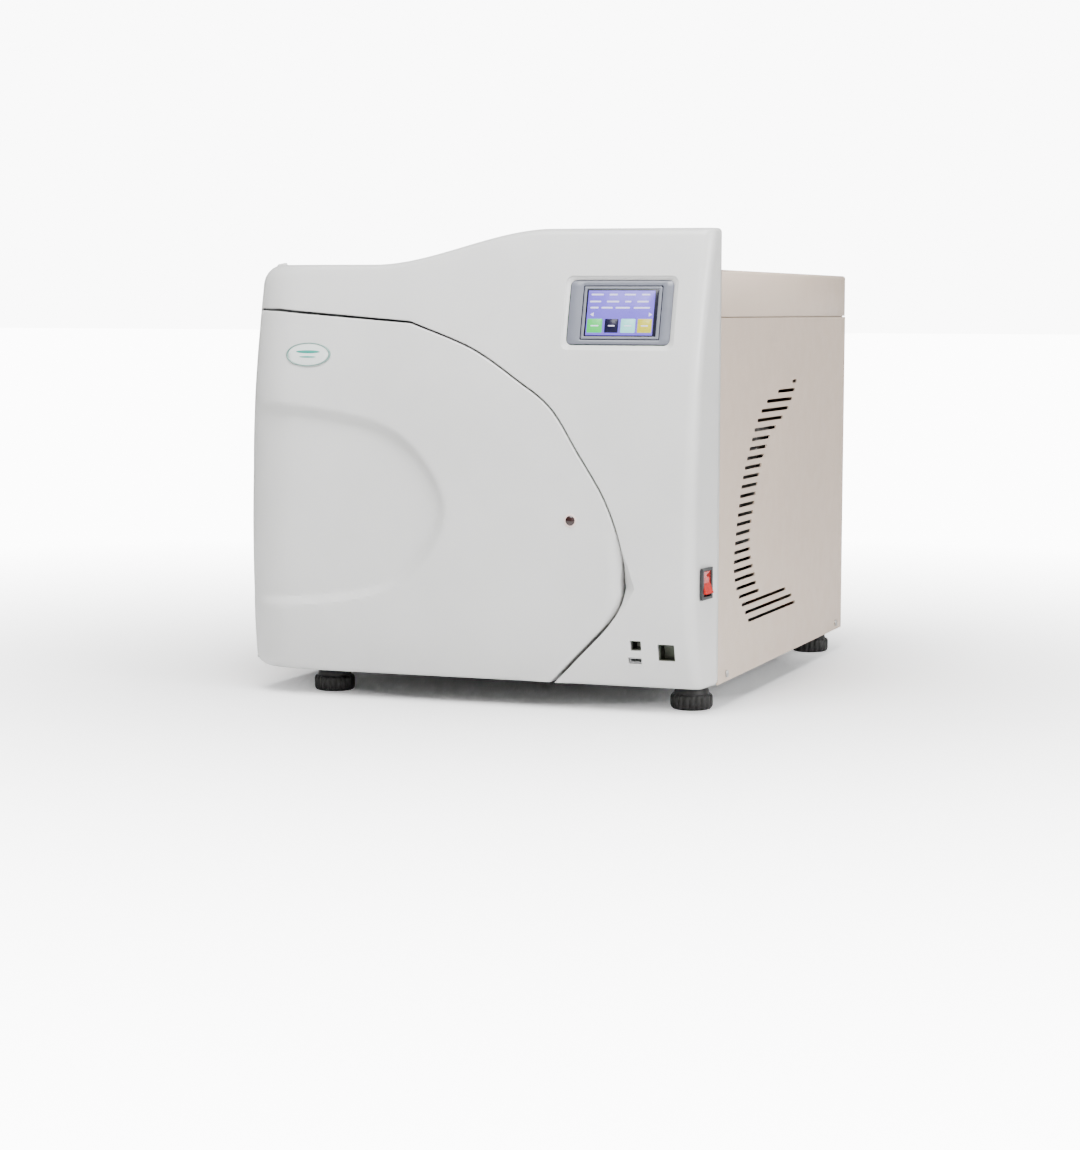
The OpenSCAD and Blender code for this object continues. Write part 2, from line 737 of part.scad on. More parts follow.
module tray_rack() {
    low = -75;
    high = 68;
    y0 = tray_front - 4;
    y1 = tray_front + tray_l + 4;
    color(steel) lift() translate([chamber_x, 0, chamber_z]) {
        for (s = [-1, 1]) translate([s * (rack_half + 0.6), 0, 0]) difference() {
            box([-0.6, y0, low], [0.6, y1, high]);
            for (i = [0:3]) box([-1, y0 + 20 + i * 62, -38], [1, y0 + 62 + i * 62, -18]);
            for (i = [0:3]) box([-1, y0 + 20 + i * 62, 14], [1, y0 + 62 + i * 62, 34]);
        }
        for (z = tray_levels, s = [-1, 1]) translate([s * (rack_half - 4.5), 0, 0])
            box([-4.5, y0, z - 1.4], [4.5, y1, z - 0.2]);
        for (y = [y0, y1 - 12]) box([-rack_half, y, -62], [rack_half, y + 12, -60.8]);
        box([-rack_half, y1 - 1.2, -30], [rack_half, y1, -14]);
    }
}

module tray(level) {
    half = tray_w / 2;
    color(steel) lift() translate([chamber_x, tray_front, chamber_z + level]) difference() {
        box([-half, 0, 0], [half, tray_l, tray_h]);
        box([-half + 0.8, 0.8, 0.8], [half - 0.8, tray_l - 0.8, tray_h + 1]);
        for (x = [-3:3], y = [0:7]) translate([x * 22, 26 + y * 30, -1]) cylinder(r = 3, h = 3);
    }
}
module tray_lower() { tray(tray_levels[0]); }
module tray_middle() { tray(tray_levels[1]); }
module tray_upper() { tray(tray_levels[2]); }

// Door: the region of the fascia's shape inside the door's edge, with the shallow moulded recess
module door_solid(inset, back) {
    difference() {
        intersection() {
            fascia_solid(inset, back);
            along_y(fascia_front - 5, door_back + back) offset(delta = -inset) door_outline();
            translate([-300, -310, 0.6 + inset]) cube([600, 200, 400]);
        }
        intersection() {
            along_y(fascia_front - 5, -260) offset(delta = inset)
                polygon(concat([[-half_w - 20, 262]], curve(recess_edge, 4), [[-half_w - 20, 68]]));
            difference() {
                translate([-300, -310, 0]) cube([600, 60, 300]);
                along_x(-half_w - 5, half_w + 5) offset(delta = -inset - recess_depth) fascia_section(10);
            }
        }
    }
}

module hinge_notches(reach) {
    for (z = hinge_levels) box([-260, -270, z - 2], [reach, -200, z + 2 * ear_h + knuckle_h + 4]);
}

module door_cover() {
    color(clean) lift() difference() {
        door_solid(0, 0);
        door_solid(wall, 10);
    }
}

module door_liner() {
    color([0.8, 0.81, 0.82]) lift() difference() {
        intersection() {
            door_solid(wall + 0.4, 3);
            along_y(-256, -254) translate([-300, 0]) square([600, 360]);
        }
        rod_y(chamber_x, chamber_z, plate_r + 1.5, -260, -250);
        hinge_notches(-194);
        box([109, -260, lock_z - 17], [118, -250, lock_z + 17]);
    }
}

module door_plate() {
    color(steel) lift() difference() {
        union() {
            rod_y(chamber_x, chamber_z, plate_r, plate_front, plate_back);
            rod_y(chamber_x, chamber_z, 118, plate_back - eps, plate_back + 6);
            rod_y(chamber_x, chamber_z, 20, plate_front - 3.8, plate_front);
        }
        rod_y(chamber_x, chamber_z, 8.1, -270, -256);
        rod_y(chamber_x, chamber_z, 100, plate_back + 2, plate_back + 7);
    }
}

module door_gasket() {
    color([0.75, 0.3, 0.22]) lift() tube_y(chamber_x, chamber_z, 127, 133, plate_back + eps, flange_y - 0.3);
}

module hinge_arm() {
    color([0.5, 0.51, 0.53]) lift() difference() {
        union() {
            for (z = hinge_levels) translate([0, 0, z + ear_h + 0.3]) linear_extrude(knuckle_h - 0.6) {
                translate([hinge_x, hinge_y]) circle(r = knuckle_r);
                translate([hinge_x, hinge_y - 7]) square([chamber_x - hinge_x - 30, 6.5]);
            }
            box([chamber_x - 40, hinge_y - 8, 112], [chamber_x + 40, hinge_y - 0.2, 288]);
        }
        rod_z(hinge_x, hinge_y, pin_r + 0.06, 90, 320);
        rod_y(chamber_x, chamber_z, 8.1, -280, -255);
    }
}

module plate_bolt() {
    color(steel) lift() {
        rod_y(chamber_x, chamber_z, 8, -272, -256.1);
        translate([chamber_x, -279, chamber_z]) rotate([-90, 0, 0]) cylinder(r = 14, h = 8.9, $fn = 6);
    }
}

module lock_striker() {
    color(steel) lift() difference() {
        union() {
            box([112, -260, lock_z - 12], [115, lock_y + 8, lock_z + 12]);
            box([100, -260, lock_z - 20], [127, -256.2, lock_z + 20]);
        }
        rod_x(lock_y, lock_z, 6, 110, 117);
    }
}

module door_badge() {
    color([0.7, 0.72, 0.74]) lift() translate([-164, -286.8, 314]) rotate([-13.5, 0, 0])
        along_y(-2, 0) hull() for (s = [-1, 1]) translate([s * 11, 0]) circle(r = 11);
}

module door_indicator() {
    color([0.45, 0.06, 0.08]) lift() {
        rod_y(113, 160, 5.5, fascia_front - 1.2, fascia_front - 0.1);
        rod_y(113, 160, 4.2, fascia_front - 2.2, fascia_front - 1.1);
    }
}

module levelling_foot(x, y) {
    r = foot_d / 2;
    ribs = 20;
    color(dark) translate([x, y, 0]) {
        grip_h = foot_h * 0.6;
        cylinder(r = r - 0.8, h = grip_h);
        for (i = [0:ribs - 1]) rotate([0, 0, i * 360 / ribs])
            translate([r - 1.6, 0, 0]) cylinder(r = 1.6, h = grip_h - 1);
        translate([0, 0, grip_h]) cylinder(r1 = r - 1.2, r2 = r * 0.62, h = foot_h - grip_h - 0.3);
        translate([0, 0, foot_h - 0.5]) cylinder(r = stud_d / 2, h = 14);
    }
}
module foot_front_left() { levelling_foot(foot_x[0], foot_y[0]); }
module foot_front_right() { levelling_foot(foot_x[1], foot_y[0]); }
module foot_rear_left() { levelling_foot(foot_x[0], foot_y[1]); }
module foot_rear_right() { levelling_foot(foot_x[1], foot_y[1]); }

base_pan();
front_frame();
chamber_cradle();
tank_shelf();
left_side_panel();
right_side_panel();
rear_panel();
top_cover();
front_fascia();
display_panel();
display_screen();
control_board();
switch_housing();
usb_port();
card_slot();
network_port();
chamber_vessel();
chamber_flange();
heater_bands();
insulation_jacket();
steam_generator();
vacuum_pump();
water_pump();
clean_water_tank();
waste_water_tank();
condenser();
fan_housing();
valve_manifold();
pipework();
power_supply();
safety_valve();
power_inlet();
drain_couplings();
air_filter();
hinge_bracket();
lock_housing();
panel_screws();
tray_rack();
filler_neck();
door_cover();
door_liner();
door_plate();
door_gasket();
hinge_arm();
plate_bolt();
lock_striker();
door_badge();
door_indicator();
hinge_pin();
power_rocker();
lock_bolt();
tray_lower();
tray_middle();
tray_upper();
fan_rotor();
foot_front_left();
foot_front_right();
foot_rear_left();
foot_rear_right();
filler_lid();
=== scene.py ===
import json
import math

import bmesh
import bpy
import numpy as np
from mathutils import Matrix, Vector
from mathutils.geometry import delaunay_2d_cdt


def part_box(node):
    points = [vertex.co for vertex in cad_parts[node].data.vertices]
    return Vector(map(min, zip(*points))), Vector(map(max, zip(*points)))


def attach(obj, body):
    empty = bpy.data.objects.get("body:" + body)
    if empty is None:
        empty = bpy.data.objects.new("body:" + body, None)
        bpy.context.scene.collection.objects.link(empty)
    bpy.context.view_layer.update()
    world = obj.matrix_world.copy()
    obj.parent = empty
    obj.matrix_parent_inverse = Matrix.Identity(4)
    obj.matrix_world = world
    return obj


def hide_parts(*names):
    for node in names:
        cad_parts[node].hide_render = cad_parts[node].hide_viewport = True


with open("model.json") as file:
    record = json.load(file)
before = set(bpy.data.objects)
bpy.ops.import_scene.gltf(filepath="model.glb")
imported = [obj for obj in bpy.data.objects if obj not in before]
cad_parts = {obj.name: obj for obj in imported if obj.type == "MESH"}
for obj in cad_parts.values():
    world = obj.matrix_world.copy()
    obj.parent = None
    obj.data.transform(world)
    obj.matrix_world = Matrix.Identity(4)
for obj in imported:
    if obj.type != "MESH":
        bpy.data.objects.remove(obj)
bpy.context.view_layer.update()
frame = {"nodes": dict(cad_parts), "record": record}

MM = 0.001

# ---- Driving dimensions, in millimetres, with z measured up from the underside of the case ----
FASCIA_LO, FASCIA_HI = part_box("front_fascia")
BASE = FASCIA_LO.z
HALF_W = FASCIA_HI.x / MM
REAR = FASCIA_HI.y / MM
DEPTH = REAR - FASCIA_LO.y / MM
TOP = (FASCIA_HI.z - BASE) / MM
CASE_TOP = (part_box("top_cover")[1].z - BASE) / MM
SHOULDER = CASE_TOP + 5
DOOR_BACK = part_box("door_cover")[1].y / MM
STRIP_FRONT = DOOR_BACK + 4
BAY_FRONT = DOOR_BACK + 11
WALL = 2.5
DOOR_GAP = 1.8
DOOR_BOTTOM = 0.6

# How far the front stands ahead of the cabinet at each height, as a share of the depth
PROFILE = [(0, 0.56), (15, 0.74), (40, 0.88), (80, 0.97), (140, 1), (200, 0.97), (260, 0.9), (300, 0.82),
           (350, 0.65), (400, 0.44), (TOP, 0.26)]
# The S-shaped rise of the top edge, from the shoulder to the tall side
RISE = (-105, 75)
# The door's edge from the bottom, round the arc, to the hinge side
DOOR_EDGE = [(82, 0), (110, 25), (155, 72), (162, 105), (161, 137), (145, 180), (117, 224), (89, 265), (54, 291),
             (5, 321), (-60, 345)]
DOOR_TOP_LINE = [(-204, 356), (-290, 358)]
RECESS_EDGE = [(-290, 66), (-150, 70), (-60, 95), (-15, 165), (-60, 236), (-150, 262), (-290, 268)]
SCOOP_EDGE = [(157, 68), (168, 81), (177, 97), (170, 120), (160, 143)]

# ---- The front's plan, unrolled: u runs round the left corner, along the front and back along the right wall ----
LEFT_R = 60
RIGHT_R = 12
DRAFT = 5
LEFT_WALL = 6
QUARTER = math.pi / 2
U_CORNER = LEFT_R - HALF_W
U_LEFT = U_CORNER - LEFT_R * QUARTER
U_MIN = U_LEFT - LEFT_WALL
U_BEND = HALF_W - DRAFT - RIGHT_R
U_WALL = U_BEND + RIGHT_R * QUARTER
U_MAX = U_WALL + DEPTH - RIGHT_R
U_SHIFT = U_BEND - 18
# The left side leans inward towards the top
LEAN = 10
LEAN_FROM = 220


def catmull(points, steps):
    """Smooth open curve through the points."""
    p = np.array([points[0], *points, points[-1]], float)
    curve = []
    for a, b, c, d in zip(p, p[1:], p[2:], p[3:]):
        for t in np.arange(steps) / steps:
            curve.append(0.5 * (2 * b + (c - a) * t + (2 * a - 5 * b + 4 * c - d) * t * t
                                + (3 * b - a - 3 * c + d) * t ** 3))
    curve.append(p[-1])
    return np.array(curve)


def smooth(t):
    t = np.clip(t, 0, 1)
    return t * t * (3 - 2 * t)


PROFILE_CURVE = catmull(PROFILE, 40)


def front_depth(z):
    return DEPTH * np.interp(z, PROFILE_CURVE[:, 0], PROFILE_CURVE[:, 1])


def top_height(u):
    return SHOULDER + (TOP - SHOULDER) * smooth((u - RISE[0]) / (RISE[1] - RISE[0]))


def lean(z):
    """How far the left side has leant inward at a height."""
    return LEAN * np.clip((z - LEAN_FROM) / (SHOULDER - LEAN_FROM), 0, None) ** 1.6


def top_radius(u):
    return np.interp(u, [U_LEFT, U_CORNER + 20, U_BEND, U_WALL], [20, 6, 6, 4])


def bottom_radius(u):
    """The rounding along the bottom, tighter where the door's seam runs out."""
    tight = 1 - 0.72 * np.exp(-((u - DOOR_EDGE[0][0]) / 16) ** 2)
    return np.interp(u, [U_LEFT, U_CORNER + 20, U_BEND, U_WALL], [14, 5, 5, 6]) * tight


def roll_off(distance, radius):
    """How far a rounded edge has fallen away at this distance from the edge."""
    inside = np.clip(radius - distance, 0, radius)
    return radius - np.sqrt(radius * radius - inside * inside)


def surface(u, z, dent=0.0):
    """Points on the outside of the front at unrolled places (u, z), pushed inward by the dent."""
    u = np.asarray(u, float)
    z = np.asarray(z, float)
    ahead = front_depth(z)
    bend_y = np.minimum(LEFT_R, ahead - LEFT_WALL)
    left = np.clip((U_CORNER - u) / LEFT_R, 0, QUARTER)
    back = np.clip((U_LEFT - u) / LEFT_WALL, 0, 1)
    right = np.clip((u - U_BEND) / RIGHT_R, 0, QUARTER)
    along = np.clip((u - U_WALL) / (U_MAX - U_WALL), 0, 1)
    shift = DRAFT * (DEPTH - ahead) / DEPTH * np.clip((u - U_SHIFT) / (U_BEND - U_SHIFT), 0, 1)
    on_left = u < U_CORNER
    x_left = U_CORNER - (LEFT_R - lean(z)) * np.sin(left)
    h_left = (ahead - bend_y + bend_y * np.cos(left)) - (ahead - bend_y) * back
    x_right = np.minimum(u, U_BEND) + shift + RIGHT_R * np.sin(right)
    x_right = x_right + (HALF_W - x_right) * along
    h_right = (ahead - RIGHT_R * (1 - np.cos(right))) * (1 - along)
    long_way = np.hypot(np.sin(left) * bend_y, np.cos(left) * LEFT_R)
    nx = np.where(on_left, np.sin(left) * bend_y / long_way, -np.sin(right))
    ny = np.where(on_left, np.cos(left) * LEFT_R / long_way, np.cos(right))
    fall = roll_off(top_height(u) - z, top_radius(u)) + roll_off(z, bottom_radius(u)) + dent
    x = np.where(on_left, x_left, x_right) + nx * fall
    y = REAR - np.where(on_left, h_left, h_right) + ny * fall
    return np.stack([x, np.minimum(y, REAR), z], -1)


def corner_u(z, y):
    """Unrolled place on the left corner where the surface is at this y."""
    ahead = front_depth(z)
    bend_y = np.minimum(LEFT_R, ahead - LEFT_WALL)
    return U_CORNER - LEFT_R * np.arccos((REAR - y - ahead + bend_y) / bend_y)


# ---- Outlines in the unrolled plane ----
def sample(points, spacing):
    """Points along a polyline no further apart than the spacing, without the last one."""
    out = []
    for a, b in zip(points, points[1:]):
        a, b = np.array(a, float), np.array(b, float)
        count = max(1, math.ceil(np.linalg.norm(b - a) / spacing))
        out += [a + (b - a) * i / count for i in range(count)]
    return out


def inset(points, distance):
    """Move each side of a closed outline to its left by that side's own distance."""
    p = np.array(points)
    side = np.roll(p, -1, 0) - p
    side /= np.linalg.norm(side, axis=1)[:, None]
    normal = np.stack([-side[:, 1], side[:, 0]], 1)
    before, after = np.roll(normal, 1, 0), normal
    d0, d1 = np.roll(distance, 1), np.asarray(distance)
    cross = before[:, 0] * after[:, 1] - before[:, 1] * after[:, 0]
    safe = np.where(np.abs(cross) < 0.1, 1, cross)
    sharp = np.stack([(d0 * after[:, 1] - d1 * before[:, 1]) / safe,
                      (before[:, 0] * d1 - after[:, 0] * d0) / safe], 1)
    flat = (before + after) / 2 * ((d0 + d1) / 2)[:, None]
    return p + np.where(np.abs(cross)[:, None] < 0.1, flat, sharp)


def door_path(gap):
    """The door's edge, moved outward by the gap, from the bottom to the hinge side."""
    path = np.array(list(catmull(DOOR_EDGE, 8)) + DOOR_TOP_LINE)
    step = np.gradient(path, axis=0)
    step /= np.linalg.norm(step, axis=1)[:, None]
    wide = 1 + 0.5 * smooth((-30 - path[:, 0]) / 60) + 0.7 * smooth((85 - path[:, 1]) / 25)
    return path + (gap * wide)[:, None] * np.stack([step[:, 1], -step[:, 0]], 1)


def hinge_side(gap, y, low):
    """The door path cut off where the front's left corner reaches y, and the points down that corner."""
    path = door_path(gap)
    end_z = DOOR_TOP_LINE[1][1] - 0.8 + gap
    end = (float(corner_u(end_z, y)), end_z)
    path = [tuple(p) for p in path if p[0] > end[0] + 1]
    clear = next(i for i, p in enumerate(path) if p[1] > low + 0.8)
    (x0, z0), (x1, z1) = path[clear - 1], path[clear]
    path = [(float(np.interp(low, [z0, z1], [x0, x1])), low)] + path[clear:]
    heights = [*np.linspace(end_z, low + 16, 56), low]
    return path + [end], [(float(corner_u(z, y)), float(z)) for z in heights]


def inside(points, loop):
    """Which points lie inside a closed loop."""
    x, z = points[:, 0], points[:, 1]
    result = np.zeros(len(points), bool)
    for (x0, z0), (x1, z1) in zip(loop, np.roll(loop, -1, 0)):
        if z0 != z1:
            crosses = (z0 > z) != (z1 > z)
            result ^= crosses & (x < (x1 - x0) * (z - z0) / (z1 - z0) + x0)
    return result


def distance_to(points, line):
    """Distance from each point to a polyline."""
    best = np.full(len(points), np.inf)
    for a, b in zip(line, line[1:]):
        along = b - a
        t = np.clip((points - a) @ along / max(along @ along, 1e-12), 0, 1)
        best = np.minimum(best, np.linalg.norm(points - a - t[:, None] * along, axis=1))
    return best


def closed(loop):
    return np.vstack([loop, loop[:1]])


# ---- Meshes ----
class Builder:
    """Collects points in millimetres and faces, and makes a welded mesh object in metres."""

    def __init__(self):
        self.points = []
        self.faces = []

    def add(self, points):
        start = len(self.points)
        self.points += [tuple(p) for p in points]
        return list(range(start, len(self.points)))

    def strip(self, low, high, around=True):
        count = len(low)
        for i in range(count if around else count - 1):
            j = (i + 1) % count
            self.faces.append((low[i], low[j], high[j], high[i]))

    def fill(self, loop, holes, extra, lift):
        """Triangles between the loop and the holes, through the extra points; lift maps them to 3-D."""
        points = np.vstack([loop, *holes, extra])
        edges = []
        start = 0
        for ring in [loop, *holes]:
            count = len(ring)
            edges += [(start + i, start + (i + 1) % count) for i in range(count)]
            start += count
        flat, _, faces, *_ = delaunay_2d_cdt([Vector(p) for p in points], edges, [], 0, 1e-4)
        flat = np.array(flat)
        faces = np.array([f for f in faces if len(f) == 3])
        middle = flat[faces].mean(1)
        keep = inside(middle, loop)
        for hole in holes:
            keep &= ~inside(middle, hole)
        ids = np.array(self.add(lift(flat)))
        self.faces += [tuple(f) for f in ids[faces[keep]].tolist()]

    def build(self, name, material, sharp=35, weld=0.02):
        mesh = bpy.data.meshes.new(name)
        mesh.from_pydata([(x * MM, y * MM, z * MM + BASE) for x, y, z in self.points], [], self.faces)
        finish_mesh(mesh, sharp, weld)
        piece = bpy.data.objects.new(name, mesh)
        bpy.context.scene.collection.objects.link(piece)
        mesh.materials.append(material)
        return piece


# Face areas in square millimetres: one that counts as nothing, and one too thin to shade by
EMPTY = 0.004
SLIVER = 0.5


def finish_mesh(mesh, sharp, weld):
    bm = bmesh.new()
    bm.from_mesh(mesh)
    bmesh.ops.remove_doubles(bm, verts=bm.verts, dist=weld * MM)
    bmesh.ops.dissolve_degenerate(bm, edges=bm.edges, dist=0.002 * MM)
    empty = [face for face in bm.faces if face.calc_area() < EMPTY * MM * MM]
    bmesh.ops.delete(bm, geom=empty, context="FACES_ONLY")
    bmesh.ops.delete(bm, geom=[v for v in bm.verts if not v.link_faces], context="VERTS")
    for face in bm.faces:
        face.smooth = True
    for edge in bm.edges:
        sliver = min((face.calc_area() for face in edge.link_faces), default=0) < SLIVER * MM * MM
        edge.smooth = sliver or edge.calc_face_angle(0) < math.radians(sharp)
    bm.to_mesh(mesh)
    bm.free()


def add_modifier(piece, kind, **settings):
    modifier = piece.modifiers.new(kind.title(), kind)
    for key, value in settings.items():
        setattr(modifier, key, value)
    return modifier


def place_piece(piece, body, slot, *replaced):
    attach(piece, body)
    if replaced:
        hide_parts(*replaced)
    return piece


# ---- Materials ----
class Nodes:
    """A small helper for building a node tree around one Principled shader."""

    def __init__(self, name):
        self.material = bpy.data.materials.new(name)
        self.material.use_nodes = True
        self.tree = self.material.node_tree
        self.shader = self.tree.nodes["Principled BSDF"]
        self.object = self.node("ShaderNodeTexCoord").outputs["Object"]

    def node(self, kind, **values):
        made = self.tree.nodes.new(kind)
        for key, value in values.items():
            if key in made.inputs:
                made.inputs[key].default_value = value
            else:
                setattr(made, key, value)
        return made

    def link(self, output, target):
        self.tree.links.new(output, target)

    def stretched(self, scale):
        mapping = self.node("ShaderNodeMapping", Scale=scale)
        self.link(self.object, mapping.inputs["Vector"])
        return mapping.outputs["Vector"]

    def noise(self, scale, detail=4.0, stretch=None):
        made = self.node("ShaderNodeTexNoise", Scale=scale, Detail=detail)
        self.link(self.stretched(stretch) if stretch else self.object, made.inputs["Vector"])
        return made.outputs["Fac"]

    def ramp(self, value, low, high, start=0.35, end=0.65):
        made = self.node("ShaderNodeMapRange")
        made.inputs["From Min"].default_value = start
        made.inputs["From Max"].default_value = end
        made.inputs["To Min"].default_value = low
        made.inputs["To Max"].default_value = high
        self.link(value, made.inputs["Value"])
        return made.outputs["Result"]

    def mix(self, factor, first, second):
        made = self.node("ShaderNodeMix", data_type="RGBA")
        self.link(factor, made.inputs["Factor"])
        for socket, value in zip(made.inputs[6:8], (first, second)):
            if isinstance(value, bpy.types.NodeSocket):
                self.link(value, socket)
            else:
                socket.default_value = (*value, 1)
        return made.outputs[2]

    def colour(self, output):
        self.link(output, self.shader.inputs["Base Color"])

    def bump(self, height, strength, distance):
        made = self.node("ShaderNodeBump", Strength=strength, Distance=distance)
        self.link(height, made.inputs["Height"])
        self.link(made.outputs["Normal"], self.shader.inputs["Normal"])

    def set(self, **values):
        for key, value in values.items():
            self.shader.inputs[key.replace("_", " ")].default_value = value
        return self


def shade(colour, factor):
    return tuple(min(1.0, c * factor) for c in colour)


def plastic(name, colour, rough=0.38, grain=0.02, grain_scale=2600.0, mottle=0.03, coat=0.0, specular=0.5):
    """Moulded plastic: faint flow mottling, fine grain in the bump and uneven gloss."""
    n = Nodes(name)
    cloud = n.noise(9.0, 5.0)
    n.colour(n.mix(n.ramp(cloud, 0, 1), shade(colour, 1 - mottle), shade(colour, 1 + mottle)))
    n.link(n.ramp(n.noise(45.0), rough - 0.04, rough + 0.05), n.shader.inputs["Roughness"])
    n.bump(n.noise(grain_scale, 2.0), grain, 0.0004)
    n.set(Coat_Weight=coat, Coat_Roughness=0.2, Specular_IOR_Level=specular)
    return n.material


def painted(name, colour, rough=0.42):
    """Powder coat on sheet steel: orange-peel bump and a slight drift of tone."""
    n = Nodes(name)
    n.colour(n.mix(n.ramp(n.noise(5.0, 3.0), 0, 1), shade(colour, 0.975), shade(colour, 1.02)))
    n.link(n.ramp(n.noise(60.0), rough - 0.05, rough + 0.06), n.shader.inputs["Roughness"])
    n.bump(n.noise(900.0, 3.0), 0.07, 0.0005)
    n.set(Specular_IOR_Level=0.45)
    return n.material


def metal(name, colour, rough=0.28, stretch=(1, 1, 60), scale=40.0, brushed=0.06):
    """Metal with brushed streaks that vary the gloss, the tone and the bump."""
    n = Nodes(name)
    streak = n.noise(scale, 6.0, stretch)
    n.colour(n.mix(n.ramp(streak, 0, 1), shade(colour, 0.9), shade(colour, 1.08)))
    n.link(n.ramp(streak, rough - 0.07, rough + 0.1), n.shader.inputs["Roughness"])
    n.bump(streak, brushed, 0.0003)
    n.set(Metallic=1.0)
    return n.material


def cast(name, colour, rough=0.5):
    """Cast or rough metal with a pitted skin."""
    n = Nodes(name)
    n.colour(n.mix(n.ramp(n.noise(80.0), 0, 1), shade(colour, 0.82), shade(colour, 1.1)))
    n.link(n.ramp(n.noise(200.0), rough - 0.1, rough + 0.12), n.shader.inputs["Roughness"])
    n.bump(n.noise(700.0, 5.0), 0.35, 0.0006)
    n.set(Metallic=1.0)
    return n.material


def copper(name):
    """Drawn copper with brown tarnish in patches."""
    n = Nodes(name)
    patch = n.ramp(n.noise(55.0, 6.0), 0, 1, 0.42, 0.7)
    n.colour(n.mix(patch, (0.72, 0.33, 0.19), (0.31, 0.13, 0.08)))
    n.link(n.ramp(n.noise(120.0), 0.22, 0.48), n.shader.inputs["Roughness"])
    n.bump(n.noise(400.0), 0.05, 0.0003)
    n.set(Metallic=1.0)
    return n.material


def woven(name, colour):
    """Glass-fibre blanket: a coarse weave in bump and tone."""
    n = Nodes(name)
    wave = n.node("ShaderNodeTexWave", Scale=90.0, Distortion=2.5)
    n.link(n.object, wave.inputs["Vector"])
    n.colour(n.mix(wave.outputs["Fac"], shade(colour, 0.8), colour))
    n.bump(wave.outputs["Fac"], 0.5, 0.001)
    n.set(Roughness=0.95, Sheen_Weight=0.3)
    return n.material


def rubber(name, colour, rough=0.62):
    """Moulded rubber with dusty high spots."""
    n = Nodes(name)
    dust = n.ramp(n.noise(150.0, 6.0), 0, 1, 0.5, 0.75)
    n.colour(n.mix(dust, colour, shade(colour, 1.7)))
    n.link(n.ramp(n.noise(70.0), rough - 0.1, rough + 0.1), n.shader.inputs["Roughness"])
    n.bump(n.noise(1200.0), 0.12, 0.0004)
    n.set(Specular_IOR_Level=0.35)
    return n.material


def circuit(name):
    """Solder-masked board: dark tracks in the green and a satin gloss."""
    n = Nodes(name)
    brick = n.node("ShaderNodeTexBrick", Scale=120.0)
    n.link(n.stretched((1, 1, 1)), brick.inputs["Vector"])
    for socket, value in zip(("Color1", "Color2", "Mortar"), ((0.01, 0.12, 0.04), (0.012, 0.16, 0.05), (0.02, 0.26, 0.09))):
        brick.inputs[socket].default_value = (*value, 1)
    n.colour(brick.outputs["Color"])
    n.bump(brick.outputs["Fac"], 0.2, 0.0002)
    n.set(Roughness=0.35)
    return n.material


def glass(name, colour, glow):
    """Lit liquid-crystal cells under glass: a fine pixel grid in the tone and a smooth gloss."""
    n = Nodes(name)
    cells = n.node("ShaderNodeTexBrick", Scale=1400.0, offset=0.0)
    n.link(n.object, cells.inputs["Vector"])
    cells.inputs["Color1"].default_value = (*colour, 1)
    cells.inputs["Color2"].default_value = (*shade(colour, 0.93), 1)
    cells.inputs["Mortar"].default_value = (*shade(colour, 0.7), 1)
    n.colour(n.mix(cells.outputs["Fac"], shade(colour, 0.3), shade(colour, 0.2)))
    n.link(cells.outputs["Color"], n.shader.inputs["Emission Color"])
    n.link(n.ramp(n.noise(90.0), 0.3, 0.4), n.shader.inputs["Roughness"])
    n.set(Emission_Strength=glow, Specular_IOR_Level=0.25)
    return n.material


def lamp_red(name, colour, glow):
    """Red translucent moulding, lit a little from inside."""
    n = Nodes(name)
    n.colour(n.mix(n.ramp(n.noise(160.0), 0, 1), shade(colour, 0.75), colour))
    n.bump(n.noise(500.0), 0.04, 0.0003)
    n.set(Roughness=0.22, Coat_Weight=0.5, Coat_Roughness=0.08, Emission_Color=(1.0, 0.12, 0.05, 1),
          Emission_Strength=glow)
    return n.material


